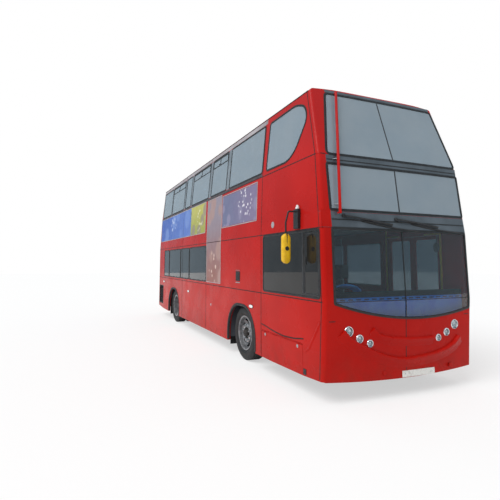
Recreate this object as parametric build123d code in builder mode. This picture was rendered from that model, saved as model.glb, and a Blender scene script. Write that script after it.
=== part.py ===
from build123d import *
import math
import os

os.makedirs("parts", exist_ok=True)

# Double decker bus, millimetres.
# +X is the front, +Y the nearside (passenger doors), +Z up, origin on the ground under the middle.

# Plan of the body at five heights. The walls between two heights are ruled.
# Columns: height, front corner x, bow of the front, rear x, half width
SKIRT_LEVEL = 200
SEAM_LOW = 1255
SEAM_FLOOR = 2191
SEAM_HIGH = 3173
LOFT_TOP = 4270
HALF_LENGTH = 5055
HALF_WIDTH = 1264
SECTIONS = (
    (SKIRT_LEVEL, 4958, 60, -HALF_LENGTH, HALF_WIDTH),
    (SEAM_LOW, 5022, 33, -HALF_LENGTH, HALF_WIDTH),
    (SEAM_FLOOR, 4990, 22, -HALF_LENGTH, HALF_WIDTH),
    (SEAM_HIGH, 4868, 20, -4951, 1234),
    (LOFT_TOP, 4506, 20, -4835, 1135),
)
CORNER_RADIUS = 50
WALL = 60
SKIN = 8
SEAT = 0.3
SEAM = 4
SEAM_DEPTH = 10
BAY_SEAMS = (3198, 250, -1918)

ROOF_SEAM = 4165
ROOF_EDGE = 4200
ROOF_TOP = 4250
ROOF_RADIUS = 80
CEILING = 4170
ROOF_START = 4000
SHAVE = 0.5

# Bottom edge of the body, from the back to the front: x, height. It runs on past both ends.
BEYOND = 5200
SKIRT_LINE = (
    (-BEYOND, 325), (-4300, 262), (-3600, 250), (3600, 250), (4500, 264), (4958, 288), (5022, 238), (BEYOND, 238)
)

# Wheels and axles
TYRE_RADIUS = 478
TYRE_WIDTH = 276
RIM_RADIUS = 286
RIM_FLANGE = 308
RIM_WIDTH = 210
RIM_WALL = 12
FRONT_AXLE_X = 2320
REAR_AXLE_X = -2900
TRACK_Y = 1060
TWIN_PITCH = 320
KINGPIN_Y = 900
KINGPIN_RADIUS = 20
SPINDLE_RADIUS = 35
REAR_SPINDLE_RADIUS = 45
RUNNING_FIT = 0.05
HUB_RADIUS = 105
AXLE_TUBE_RADIUS = 70
BEAD_HALF = 104
TREAD_EDGE = 30
DISC_OUT = 70
DISC_DISH = 55
DISC_RING = 200
DISC_HALF = 12
HUB_DEPTH = 60
CAP_OUT = 45
CAP_RADIUS = 75
SPINDLE_END = 50
REAR_HUB_OUT = 170
EYE_RADIUS = 40
EYE_HALF = 58
LUG_THICK = 40
YOKE_GAP = 3
YOKE_THICK = 22
BEAM_HEIGHT = 80
BEAM_WIDTH = 110
RISER_Y = 720
RISER_WIDTH = 60
ARM_HALF = 38
DRIVE_RADIUS = 150
DRIVE_WIDTH = 300

# Wheel arches and the boxes over the wheels
ARCH_HALF = 650
ARCH_TOP = 985
ARCH_RADIUS = 550
BOX_INNER_Y = 580
BOX_TOP = 1050
SHEET = 20

# Floors
FLOOR = 360
FLOOR_THICK = 50
REAR_FLOOR = 700
STEP_X = -2000
BULKHEAD_X = -4200
ENGINE_SHELF = 1240
UPPER_FLOOR = 2400
UPPER_FLOOR_THICK = 60
CAB_FLOOR = 620
CAB_REAR_X = 3290
CAB_SIDE_Y = -350
CAB_FRONT_X = 4700
WHEEL_ROOM = 15

# Cab: points of the dashboard's side view, x and z
DASH_PROFILE = ((4720, 1180), (4740, 1330), (4905, 1372), (4912, 1000), (4780, 1000))
CAB_MID_Y = -740
STEER_X = 4440
STEER_Z = 1390
STEER_TILT = 0.2
STEER_RADIUS = 225
STEER_RIM = 15
STEER_HUB = 55
STEER_COLUMN = 30
DRIVER_SEAT_X = 3720
DRIVER_SEAT_WIDTH = 520
CAB_DOOR_X = 4150
CAB_DOOR_TOP = 1500
RAIL_TUBE = 17
GUARD_HEIGHT = 1000
# x, y of the poles downstairs and upstairs
LOWER_POLES = ((1040, 480), (-700, 480), (-1400, -250), (-1950, 250))
UPPER_POLES = ((1000, -235), (-1200, -235), (-3000, 235))

# Chassis
RAIL_Y = 430
RAIL_WIDTH = 100
RAIL_HEIGHT = 80
RAIL_FRONT_X = 4800
RAIL_REAR_X = -4900
RAIL_TOP = FLOOR - FLOOR_THICK
RAIL_BOTTOM = RAIL_TOP - RAIL_HEIGHT
CROSS_MEMBERS = (4600, 3300, 1400, 0, -1400, -2200, -3700, -4600)
ENGINE_X = (-4880, -4270)
ENGINE_WIDTH = 960
ENGINE_TOP = 1150
HUB_Z = TYRE_RADIUS
TOW_EYE_REACH = 80
TOW_EYE_WIDTH = 80
TOW_EYE_THICK = 30
TOW_EYE_BORE = 22
JACK_PAD_X = 700
JACK_PAD = (120, 80, 20)

# Doors on the nearside: two gliding leaves in each doorway
LEAF_REACH = 600
POST_INSET = 82
LEAF_SKIRT = -32
LEAF_THICK = 34
LEAF_OUTSET = 47
LIP = 12
LIP_REACH = 120
LEAF_GAP = 6
POST_RADIUS = 16
LEAF_BOTTOM = 372
LEAF_TOP = SEAM_FLOOR - 8
LEAF_FACE_Y = HALF_WIDTH - LIP - LEAF_GAP
POST_Y = LEAF_FACE_Y - LEAF_THICK / 2 - LEAF_OUTSET
LEAF_FRAME = 55
ARM_HEIGHT = 24
ARM_HALF_WIDTH = 10
ARM_EYE = 15
ARM_PIN = 7
ARM_PLATE = 10
ARM_Z = LEAF_TOP + 25
# name, x of the doorway's middle
DOORWAYS = (("front_door", 3980), ("centre_door", 180))
# name ending, side of the doorway's middle
LEAVES = (("rear", -1), ("fore", 1))

# Stairs
STAIR_FOOT_X = 620
STAIR_GOING = 290
STAIR_RISERS = 8
STAIR_INNER_Y = -620
STAIR_OUTER_Y = -1195
TREAD = 25
STAIR_DEPTH = 150
SIDE_PLATE = 320
STAIRWELL_X = (1150, 2940)

# Openings in the side walls: rear x, front x
UPPER_SILL = 3240
UPPER_HEAD = 4058
UPPER_PANES = ((1600, 3168), (420, 1410), (-1180, 235), (-1860, -1330), (-3450, -2030), (-4740, -3550))
# Front pane of the upper deck's side, a teardrop: x, z
TEARDROP = ((3325, 3245), (3350, 4045), (4187, 4059), (4455, 3963), (4537, 3758), (4263, 3361), (4050, 3241))
TEARDROP_RADIUS = 60
LOWER_SILL = 1320
LOWER_HEAD = 2120
# rear x, front x of the panes behind the doors, offside and nearside
REAR_PANES = ((-4240, -3590), (-3535, -2150), (-2112, -1240))
OFFSIDE_PANES = REAR_PANES + ((-1200, 230),)
NEARSIDE_PANES = REAR_PANES + ((-1200, -560), (930, 2050), (2095, 3190))
CAB_PANE = (3282, 4925)
CAB_SILL = 1300
CAB_HEAD = 2168
PANE_RADIUS = 45

# Openings in the front: y, z
SCREEN_EDGE_Y = -1115
SCREEN_NEAR_Y = 1212
SCREEN_HEAD = 2185
SCREEN_CORNER_Z = 1238
SCREEN_LOW_Y = 340
SCREEN_LOW_Z = 1012
SCREEN_RADIUS = 25
UPPER_SCREEN_RADIUS = 90
SCREEN_NEAR_Z = 1112
SIGN_SILL = 2425
SIGN_HEAD = 3045
UPPER_SCREEN_SILL = 3178
UPPER_SCREEN_HEAD = 4150
UPPER_SCREEN_EDGE = (
    (-1105, UPPER_SCREEN_SILL),
    (-905, UPPER_SCREEN_HEAD),
    (1085, UPPER_SCREEN_HEAD),
    (1204, UPPER_SCREEN_SILL),
)
FRONT_SPLIT = 1020
HEADER_TOP = 2400
BUMPER_SEAM_Y = 1100

# Rear
ENGINE_DOOR_HALF = 930
ENGINE_DOOR_BOTTOM = 430
ENGINE_DOOR_TOP = 1450
DOOR_GAP = 6
HINGE_RADIUS = 9
HINGE_PIN = 4
HINGE_KNUCKLES = 7
HINGE_LEAF = 16
REAR_SCREEN_HALF = 900
REAR_SCREEN_SILL = 3330
REAR_SCREEN_HEAD = 4020

# Service hatch in the offside skirt ahead of the front wheel
HATCH_REAR_X = 3215
HATCH_FRONT_X = 4500
HATCH_TOP = 668
HATCH_THICK = 25
HATCH_RIM = 45

# Louvred grilles behind the rear wheels
GRILLE_REAR_X = -4960
GRILLE_FRONT_X = -4350
GRILLE_BOTTOM = 400
GRILLE_TOP = 1000
GRILLE_FRAME = 25
SLATS = 9
SLAT_SLOPE = 35
SLAT_DEPTH = 50
SLAT_THICK = 6

# Lamps: y, z, radius
HEADLAMPS = ((908, 887, 67), (746, 789, 55), (587, 722, 50))
REAR_LAMPS = ((1130, 1180, 52), (1130, 1050, 52), (1130, 920, 52))
LAMP_DEPTH = 45
LAMP_REACH = 150

SEAT_WIDTH = 880
SEAT_DEPTH = 420
SEAT_HEIGHT = 450
SEAT_BACK = 1050
SEAT_PADDING = 60
SEAT_MID_Y = 745
UPPER_SEAT_MID_Y = 700
PEDESTAL = 60
# height of the floor under the seat, side, x of the seats' backs
LOWER_SEATS = (
    (FLOOR, -1, (-340, -1090, -1840)),
    (FLOOR, 1, (-1840, 1175)),
    (BOX_TOP + SHEET, -1, (-2700, -3450)),
    (BOX_TOP + SHEET, 1, (-2700, -3450)),
    (REAR_FLOOR, -1, (-4135,)),
    (REAR_FLOOR, 1, (-4135,)),
)
UPPER_SEATS = (
    (UPPER_FLOOR, -1, (3560, 240, -510, -1260, -2010, -2760, -3510, -4260)),
    (UPPER_FLOOR, 1, (3560, 2810, 2060, 1310, 560, -190, -940, -1690, -2440, -3190, -3940)),
)

MIRROR_X = 4420
MIRROR_Y = (1400, 1535)
MIRROR_Z = (1730, 2140)
MIRROR_DEPTH = 80
MIRROR_ARM_RADIUS = 12
POLE_RADIUS = 19
PLATE_FRONT_Y = (-70, 495)
PLATE_REAR_Y = (-260, 260)
PLATE_Z = 290
PLATE_REAR_Z = 378
PLATE_HEIGHT = 83
PLATE_THICK = 4
# pivot y, z and tip y, z
WIPERS = (((-780, 2335), (290, 2200)), ((240, 2335), (1045, 2205)))
WIPER_STAND = 30
WIPER_ARM = 8
WIPER_BOSS = 22
POLE_STAND = 40
POLE_BEND = 300
# height, y of the guard pole's course
POLE_COURSE = ((2374, -1013), (3120, -962), (4171, -745))
POLE_FOOT = 10
MIRROR_BRACKET_X = (4340, 4465)
MIRROR_BRACKET_Z = (2210, 2480)
MIRROR_BRACKET_Y = 1305
MIRROR_ARM_Z = 2445
MIRROR_ARM_Y = 1425
MIRROR_ARM_LOW = 2290
MIRROR_ARM_BEND = 25
MIRROR_ROUND = 25


def level(z, column):
    """One column of the plan at a height between two sections."""
    for low, high in zip(SECTIONS, SECTIONS[1:]):
        if z <= high[0]:
            share = (z - low[0]) / (high[0] - low[0])
            return low[column] + share * (high[column] - low[column])
    return SECTIONS[-1][column]


def front_x(z):
    return level(z, 1)


def nose_x(z):
    return level(z, 1) + level(z, 2)


def rear_x(z):
    return level(z, 3)


def half_y(z):
    return level(z, 4)


def keep(part, name):
    """Label a finished piece and write it."""
    part.label = name
    export_step(part, f"parts/{name}.step")
    return part


def plan_body(inset):
    """The body's outer form, drawn in by an inset."""
    with BuildPart() as form:
        for height, front, bow, rear, half in SECTIONS:
            x0 = rear + inset
            x1 = front - inset
            side = half - inset
            with BuildSketch(Plane.XY.offset(height)) as plan:
                with BuildLine():
                    Line((x0, -side), (x1, -side))
                    ThreePointArc((x1, -side), (x1 + bow, 0), (x1, side))
                    Line((x1, side), (x0, side))
                    Line((x0, side), (x0, -side))
                make_face()
                fillet(plan.vertices(), max(CORNER_RADIUS - inset, SKIN))
        loft(ruled=True)
    return form.part


def profile_region(back, ahead, z0, z1):
    """Points of a side view region whose ends follow the rear and front lines."""
    heights = [z0] + [s[0] for s in SECTIONS if z0 < s[0] < z1] + [z1]
    lower = [(ahead(z), z) for z in heights]
    upper = [(back(z), z) for z in reversed(heights)]
    return lower + upper


def side_prism(points):
    """A side view outline run across the bus and past both sides."""
    with BuildPart() as prism:
        with BuildSketch(Plane.XZ):
            with BuildLine():
                Polyline(*points, close=True)
            make_face()
        extrude(amount=HALF_WIDTH + 2 * WALL, both=True)
    return prism.part


def block(x0, x1, y0, y1, z0, z1):
    """A box from its six faces."""
    with BuildPart() as solid:
        with Locations(((x0 + x1) / 2, (y0 + y1) / 2, (z0 + z1) / 2)):
            Box(x1 - x0, y1 - y0, z1 - z0)
    return solid.part


def rod(start, end, radius):
    """A round bar between two points."""
    axis = Vector(*end) - Vector(*start)
    with BuildPart() as bar:
        with BuildSketch(Plane(origin=start, z_dir=axis)):
            Circle(radius)
        extrude(amount=axis.length)
    return bar.part


def tube_run(points, radius, bend):
    """A bent tube along straight runs joined by arcs."""
    with BuildPart() as tube:
        with BuildLine() as path:
            FilletPolyline(*points, radius=bend)
        with BuildSketch(path.line ^ 0):
            Circle(radius)
        sweep(path=path.line)
    return tube.part


# Body forms shared by the panels and the glass.
# The crown rounds the roof's edges along the sides, and the dome rounds them at the ends.
with BuildPart() as crown:
    with BuildSketch(Plane.YZ) as arch_face:
        with BuildLine():
            shoulder = half_y(ROOF_START) + SHAVE
            edge = half_y(ROOF_EDGE) + SHAVE
            Polyline((-edge, ROOF_EDGE), (-shoulder, ROOF_START), (-HALF_WIDTH - WALL, ROOF_START))
            Polyline((-HALF_WIDTH - WALL, ROOF_START), (-HALF_WIDTH - WALL, 0), (HALF_WIDTH + WALL, 0))
            Polyline((HALF_WIDTH + WALL, 0), (HALF_WIDTH + WALL, ROOF_START), (shoulder, ROOF_START))
            Line((shoulder, ROOF_START), (edge, ROOF_EDGE))
            ThreePointArc((edge, ROOF_EDGE), (0, ROOF_TOP), (-edge, ROOF_EDGE))
        make_face()
        fillet(arch_face.vertices().sort_by(Axis.Y)[-2:], ROOF_RADIUS)
    extrude(amount=HALF_LENGTH + WALL, both=True)

with BuildPart() as dome:
    with BuildSketch(Plane.XZ) as dome_face:
        with BuildLine():
            Polyline(
                (-HALF_LENGTH - WALL, 0),
                (HALF_LENGTH + WALL, 0),
                (HALF_LENGTH + WALL, ROOF_START),
                (nose_x(ROOF_START) + SHAVE, ROOF_START),
                (nose_x(ROOF_TOP) + SHAVE, ROOF_TOP),
                (rear_x(ROOF_TOP) - SHAVE, ROOF_TOP),
                (rear_x(ROOF_START) - SHAVE, ROOF_START),
                (-HALF_LENGTH - WALL, ROOF_START),
                close=True,
            )
        make_face()
        fillet(dome_face.vertices().sort_by(Axis.Y)[-2:], ROOF_RADIUS)
    extrude(amount=HALF_WIDTH + WALL, both=True)

skirt_cut = side_prism(list(SKIRT_LINE) + [(BEYOND, 0), (-BEYOND, 0)])
outer = plan_body(0) & crown.part & dome.part
inner = plan_body(WALL)
skin_inner = plan_body(SKIN)
groove_inner = plan_body(SEAM_DEPTH)

# Grooves round the sides and back where the panels of one level meet the next
with BuildPart() as grooves:
    with Locations(*[(-WALL, 0, z) for z in (SEAM_LOW, SEAM_FLOOR, SEAM_HIGH)]):
        Box(2 * HALF_LENGTH, 2 * HALF_WIDTH + WALL, SEAM)
    add(groove_inner, mode=Mode.SUBTRACT)

walls = outer - inner - skirt_cut - grooves.part
glass_skin = outer - skin_inner

front_zone = side_prism(
    profile_region(lambda z: front_x(z) - WALL, lambda z: HALF_LENGTH + WALL, SKIRT_LEVEL, LOFT_TOP)
)
rear_zone = side_prism(
    profile_region(lambda z: -HALF_LENGTH - WALL, lambda z: rear_x(z) + WALL, SKIRT_LEVEL, LOFT_TOP)
)
front_wall = walls & front_zone
rear_wall = walls & rear_zone
side_walls = walls - front_zone - rear_zone


# Openings in the sides, as prisms across one wall
def wall_reach(side):
    """Y range that holds one side wall."""
    return (-HALF_WIDTH - WALL, -WALL) if side < 0 else (WALL, HALF_WIDTH + WALL)


def window_prism(side, shapes, shrink=0.0):
    """Window outlines of one side run through its wall. Shapes are point lists or x, z ranges."""
    y0, y1 = wall_reach(side)
    with BuildPart() as cut:
        for shape, radius in shapes:
            with BuildSketch(Plane.XZ.offset(-y1)) as outline:
                if len(shape) == 4 and not isinstance(shape[0], tuple):
                    x0, x1, z0, z1 = shape
                    with Locations(((x0 + x1) / 2, (z0 + z1) / 2)):
                        RectangleRounded(x1 - x0 - 2 * shrink, z1 - z0 - 2 * shrink, radius)
                else:
                    with BuildLine():
                        Polyline(*shape, close=True)
                    make_face()
                    fillet(outline.vertices(), radius)
                    if shrink:
                        offset(amount=-shrink)
            extrude(amount=y1 - y0)
    return cut.part


upper_shapes = [((x0, x1, UPPER_SILL, UPPER_HEAD), PANE_RADIUS) for x0, x1 in UPPER_PANES]
upper_shapes.append((TEARDROP, TEARDROP_RADIUS))
cab_shape = ((CAB_PANE[0], CAB_PANE[1], CAB_SILL, CAB_HEAD), PANE_RADIUS)
offside_shapes = [((x0, x1, LOWER_SILL, LOWER_HEAD), PANE_RADIUS) for x0, x1 in OFFSIDE_PANES] + [cab_shape]
nearside_shapes = [((x0, x1, LOWER_SILL, LOWER_HEAD), PANE_RADIUS) for x0, x1 in NEARSIDE_PANES]

# Wheel arches through both walls
with BuildPart() as arches:
    for axle_x in (FRONT_AXLE_X, REAR_AXLE_X):
        with BuildSketch(Plane.XZ) as arch:
            with BuildLine():
                Polyline(
                    (axle_x - ARCH_HALF, 0),
                    (axle_x - ARCH_HALF, ARCH_TOP),
                    (axle_x + ARCH_HALF, ARCH_TOP),
                    (axle_x + ARCH_HALF, 0),
                    close=True,
                )
            make_face()
            fillet(arch.vertices().group_by(Axis.Y)[-1], ARCH_RADIUS)
        extrude(amount=HALF_WIDTH + WALL, both=True)

# Slits between the bays of panels
with BuildPart() as slits:
    with Locations(*[(x, 0, LOFT_TOP / 2) for x in BAY_SEAMS]):
        Box(SEAM, 2 * HALF_WIDTH + WALL, LOFT_TOP)


def doorway_cut(mid_x):
    """A doorway: wide through the wall, narrower in the skin that laps over the leaves. Seams part its sill."""
    half = LEAF_REACH + POST_INSET
    rear = mid_x - half
    fore = mid_x + half
    wide = HALF_WIDTH + WALL
    return (
        block(rear, fore, WALL, HALF_WIDTH - LIP, FLOOR, SEAM_FLOOR),
        block(rear + LIP_REACH, fore - LIP_REACH, WALL, wide, FLOOR, SEAM_FLOOR),
        block(rear - SEAM, fore + SEAM, WALL, wide, FLOOR, FLOOR + SEAM),
        block(rear - SEAM, rear, WALL, wide, SKIRT_LEVEL, FLOOR + SEAM),
        block(fore, fore + SEAM, WALL, wide, SKIRT_LEVEL, FLOOR + SEAM),
    )


doorways = [cut for _, mid_x in DOORWAYS for cut in doorway_cut(mid_x)]
grille_cuts = [
    block(GRILLE_REAR_X, GRILLE_FRONT_X, -HALF_WIDTH - WALL, -WALL, GRILLE_BOTTOM, GRILLE_TOP),
    block(GRILLE_REAR_X, GRILLE_FRONT_X, WALL, HALF_WIDTH + WALL, GRILLE_BOTTOM, GRILLE_TOP),
]
# Service hatch: a recess for the flap, a smaller way in behind it, and hinge knuckles at the top
HATCH_HINGE_Y = -HALF_WIDTH + HINGE_RADIUS + 1
hatch_mid_x = (HATCH_REAR_X + HATCH_FRONT_X) / 2
hatch_length = HATCH_FRONT_X - HATCH_REAR_X
hatch_step = hatch_length / HINGE_KNUCKLES
with BuildPart() as hatch_frame_knuckles:
    for number in range(0, HINGE_KNUCKLES, 2):
        knuckle_x = HATCH_REAR_X + (number + 0.5) * hatch_step
        with Locations((knuckle_x, HATCH_HINGE_Y, HATCH_TOP)):
            Cylinder(HINGE_RADIUS, hatch_step - 2 * SEAT, rotation=(0, 90, 0))
        with Locations((knuckle_x, HATCH_HINGE_Y + HINGE_LEAF / 2, HATCH_TOP + HINGE_LEAF / 2)):
            Box(hatch_step - 2 * SEAT, HINGE_LEAF, HINGE_LEAF)
    with Locations((hatch_mid_x, HATCH_HINGE_Y, HATCH_TOP)):
        Cylinder(HINGE_PIN, hatch_length - hatch_step, rotation=(0, 90, 0))
with BuildPart() as hatch_knuckles:
    for number in range(1, HINGE_KNUCKLES, 2):
        knuckle_x = HATCH_REAR_X + (number + 0.5) * hatch_step
        with Locations((knuckle_x, HATCH_HINGE_Y, HATCH_TOP)):
            Cylinder(HINGE_RADIUS, hatch_step - 2 * SEAT, rotation=(0, 90, 0))
        with Locations((knuckle_x, HATCH_HINGE_Y, HATCH_TOP - HINGE_LEAF)):
            Box(hatch_step - 2 * SEAT, HINGE_RADIUS, 2 * HINGE_LEAF)
    with Locations((hatch_mid_x, HATCH_HINGE_Y, HATCH_TOP)):
        Cylinder(HINGE_PIN + RUNNING_FIT, hatch_length, rotation=(0, 90, 0), mode=Mode.SUBTRACT)
with BuildPart() as hatch_room:
    with Locations((hatch_mid_x, HATCH_HINGE_Y, HATCH_TOP)):
        Cylinder(HINGE_RADIUS + DOOR_GAP, hatch_length, rotation=(0, 90, 0))

hatch_recess = block(
    HATCH_REAR_X, HATCH_FRONT_X, -HALF_WIDTH - WALL, -HALF_WIDTH + HATCH_THICK + SEAT, SKIRT_LEVEL, HATCH_TOP
)
hatch_way = block(
    HATCH_REAR_X + HATCH_RIM, HATCH_FRONT_X - HATCH_RIM, -HALF_WIDTH - WALL, -WALL,
    FLOOR, HATCH_TOP - HATCH_RIM,
)

# Side panels: name, bottom, top
BANDS = (
    ("skirt_panels", SKIRT_LEVEL, SEAM_LOW),
    ("lower_window_panels", SEAM_LOW, SEAM_FLOOR),
    ("between_deck_panels", SEAM_FLOOR, SEAM_HIGH),
    ("upper_window_panels", SEAM_HIGH, ROOF_SEAM),
)
SIDES = (("offside", -1), ("nearside", 1))
for band_name, z0, z1 in BANDS:
    panels = []
    for _, side in SIDES:
        y0, y1 = wall_reach(side)
        band = side_walls & block(-HALF_LENGTH - WALL, HALF_LENGTH + WALL, y0, y1, z0, z1)
        band = band - slits.part
        if band_name == "skirt_panels":
            band = band - arches.part - grille_cuts[0] - grille_cuts[1]
            if side < 0:
                band = band - hatch_recess - hatch_way - hatch_room.part + hatch_frame_knuckles.part
        if band_name == "lower_window_panels":
            band = band - window_prism(side, offside_shapes if side < 0 else nearside_shapes)
        if band_name == "upper_window_panels":
            band = band - window_prism(side, upper_shapes)
        if side > 0 and z1 <= SEAM_FLOOR:
            for cut in doorways:
                band = band - cut
        panels = panels + band.solids()
    keep(Compound(children=panels), band_name)

# Front openings: windscreen, destination glass and upper screen, as prisms along the bus
def front_opening(name, shrink=0.0):
    """One opening of the front, drawn in by a clearance where its glass needs it."""
    with BuildPart() as cut:
        with BuildSketch(Plane.YZ) as outline:
            with BuildLine():
                if name == "windscreen":
                    Line((SCREEN_EDGE_Y, SCREEN_CORNER_Z), (SCREEN_EDGE_Y, SCREEN_HEAD))
                    Line((SCREEN_EDGE_Y, SCREEN_HEAD), (SCREEN_NEAR_Y, SCREEN_HEAD))
                    Line((SCREEN_NEAR_Y, SCREEN_HEAD), (SCREEN_NEAR_Y, SCREEN_NEAR_Z))
                    ThreePointArc(
                        (SCREEN_NEAR_Y, SCREEN_NEAR_Z),
                        (SCREEN_LOW_Y, SCREEN_LOW_Z),
                        (SCREEN_EDGE_Y, SCREEN_CORNER_Z),
                    )
                elif name == "sign":
                    Polyline(
                        (SCREEN_EDGE_Y, SIGN_SILL),
                        (SCREEN_EDGE_Y, SIGN_HEAD),
                        (SCREEN_NEAR_Y, SIGN_HEAD),
                        (SCREEN_NEAR_Y, SIGN_SILL),
                        close=True,
                    )
                else:
                    Polyline(*UPPER_SCREEN_EDGE, close=True)
            make_face()
            if name == "upper_screen":
                fillet(outline.vertices().group_by(Axis.Y)[-1], UPPER_SCREEN_RADIUS)
                fillet(outline.vertices().group_by(Axis.Y)[0], SCREEN_RADIUS)
            else:
                fillet(outline.vertices(), SCREEN_RADIUS)
            if shrink:
                offset(amount=-shrink)
        extrude(amount=HALF_LENGTH + WALL)
    return cut.part


# Bores for the lamps
with BuildPart() as lamp_bores:
    for y, z, radius in HEADLAMPS:
        with Locations((HALF_LENGTH + WALL, y, z), (HALF_LENGTH + WALL, -y, z)):
            Cylinder(radius + SEAT, 2 * LAMP_REACH, rotation=(0, 90, 0))

WIDE = HALF_WIDTH + WALL
pillar_zone = block(0, HALF_LENGTH + WALL, -WIDE, -BUMPER_SEAM_Y, FRONT_SPLIT, SEAM_FLOOR)
pillar_zone = pillar_zone + block(0, HALF_LENGTH + WALL, BUMPER_SEAM_Y, WIDE, FRONT_SPLIT, SEAM_FLOOR)
low_front = front_wall & block(0, HALF_LENGTH + WALL, -WIDE, WIDE, SKIRT_LEVEL, SEAM_FLOOR)
low_front = low_front - front_opening("windscreen")
pillars = low_front & pillar_zone
mask = low_front - pillar_zone - lamp_bores.part
mask = mask & block(0, HALF_LENGTH + WALL, -WIDE, WIDE, SKIRT_LEVEL, SEAM_LOW)
header = front_wall & block(0, HALF_LENGTH + WALL, -WIDE, WIDE, SEAM_FLOOR, HEADER_TOP)
surround = front_wall & block(0, HALF_LENGTH + WALL, -WIDE, WIDE, HEADER_TOP, ROOF_SEAM)
surround = surround - front_opening("sign") - front_opening("upper_screen")
keep(Compound(children=mask.solids()), "front_mask")
keep(Compound(children=pillars.solids()), "front_pillars")
keep(Compound(children=header.solids()), "front_header")
keep(Compound(children=surround.solids()), "upper_front_surround")

# Roof: everything above the cant rails, hollow below the ceiling
roof = outer & block(-HALF_LENGTH, HALF_LENGTH, -WIDE, WIDE, ROOF_SEAM, LOFT_TOP)
roof = roof - (inner & block(-HALF_LENGTH, HALF_LENGTH, -WIDE, WIDE, SEAM_HIGH, CEILING))
keep(roof, "roof")

# Rear: lower panel with the engine door's opening, upper panel with the emergency screen
with BuildPart() as rear_screen_cut:
    with BuildSketch(Plane.YZ) as outline:
        with Locations((0, (REAR_SCREEN_SILL + REAR_SCREEN_HEAD) / 2)):
            RectangleRounded(2 * REAR_SCREEN_HALF, REAR_SCREEN_HEAD - REAR_SCREEN_SILL, PANE_RADIUS)
    extrude(amount=-HALF_LENGTH - WALL)

with BuildPart() as rear_lamp_bores:
    for y, z, radius in REAR_LAMPS:
        with Locations((-HALF_LENGTH, y, z), (-HALF_LENGTH, -y, z)):
            Cylinder(radius + SEAT, 2 * LAMP_DEPTH, rotation=(0, 90, 0))

HINGE_X = -HALF_LENGTH + HINGE_RADIUS + 1
HINGE_Z = ENGINE_DOOR_TOP
door_reach = block(
    -HALF_LENGTH - WALL, -HALF_LENGTH + WALL + 1, -ENGINE_DOOR_HALF, ENGINE_DOOR_HALF,
    ENGINE_DOOR_BOTTOM, ENGINE_DOOR_TOP,
)
with BuildPart() as hinge_room:
    with Locations((HINGE_X, 0, HINGE_Z)):
        Cylinder(HINGE_RADIUS + DOOR_GAP, 2 * ENGINE_DOOR_HALF, rotation=(90, 0, 0))
rear_low = rear_wall & block(-HALF_LENGTH - WALL, 0, -WIDE, WIDE, SKIRT_LEVEL, SEAM_FLOOR)
rear_low = rear_low - door_reach - rear_lamp_bores.part - hinge_room.part
rear_low = rear_low - block(
    -HALF_LENGTH - WALL, -HALF_LENGTH + PLATE_THICK + SEAT, PLATE_REAR_Y[0] - SEAT, PLATE_REAR_Y[1] + SEAT,
    PLATE_REAR_Z - PLATE_HEIGHT / 2 - SEAT, PLATE_REAR_Z + PLATE_HEIGHT / 2 + SEAT,
)
rear_high = rear_wall & block(-HALF_LENGTH - WALL, 0, -WIDE, WIDE, SEAM_FLOOR, ROOF_SEAM)
rear_high = rear_high - rear_screen_cut.part

# Hinge along the engine door's top edge: knuckles in turn on the panel and on the door
hinge_step = 2 * ENGINE_DOOR_HALF / HINGE_KNUCKLES
with BuildPart() as panel_knuckles:
    for number in range(0, HINGE_KNUCKLES, 2):
        knuckle_y = -ENGINE_DOOR_HALF + (number + 0.5) * hinge_step
        with Locations((HINGE_X, knuckle_y, HINGE_Z)):
            Cylinder(HINGE_RADIUS, hinge_step - 2 * SEAT, rotation=(90, 0, 0))
        with Locations((HINGE_X + HINGE_LEAF / 2, knuckle_y, HINGE_Z + HINGE_LEAF / 2)):
            Box(HINGE_LEAF, hinge_step - 2 * SEAT, HINGE_LEAF)
    with Locations((HINGE_X, 0, HINGE_Z)):
        Cylinder(HINGE_PIN, 2 * ENGINE_DOOR_HALF - hinge_step, rotation=(90, 0, 0))
with BuildPart() as door_knuckles:
    for number in range(1, HINGE_KNUCKLES, 2):
        knuckle_y = -ENGINE_DOOR_HALF + (number + 0.5) * hinge_step
        with Locations((HINGE_X, knuckle_y, HINGE_Z)):
            Cylinder(HINGE_RADIUS, hinge_step - 2 * SEAT, rotation=(90, 0, 0))
        with Locations((HINGE_X, knuckle_y, HINGE_Z - HINGE_LEAF)):
            Box(HINGE_RADIUS, hinge_step - 2 * SEAT, 2 * HINGE_LEAF)
    with Locations((HINGE_X, 0, HINGE_Z)):
        Cylinder(HINGE_PIN + RUNNING_FIT, 2 * ENGINE_DOOR_HALF, rotation=(90, 0, 0), mode=Mode.SUBTRACT)

rear_low = rear_low + panel_knuckles.part
engine_door = rear_wall & block(
    -HALF_LENGTH - WALL, -HALF_LENGTH + WALL, -ENGINE_DOOR_HALF + DOOR_GAP, ENGINE_DOOR_HALF - DOOR_GAP,
    ENGINE_DOOR_BOTTOM + DOOR_GAP, ENGINE_DOOR_TOP - DOOR_GAP,
)
engine_door = engine_door - hinge_room.part + door_knuckles.part
keep(Compound(children=rear_low.solids()), "rear_lower_panel")
keep(Compound(children=rear_high.solids()), "rear_upper_panel")
keep(engine_door, "engine_door")

# Service hatch flap, cut from the wall's outer layer
hatch_zone = block(
    HATCH_REAR_X + DOOR_GAP, HATCH_FRONT_X - DOOR_GAP, -HALF_WIDTH - WALL, -HALF_WIDTH + HATCH_THICK,
    SKIRT_LEVEL, HATCH_TOP - DOOR_GAP,
)
hatch = (side_walls & hatch_zone) - hatch_room.part + hatch_knuckles.part
keep(hatch, "service_hatch")

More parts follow.
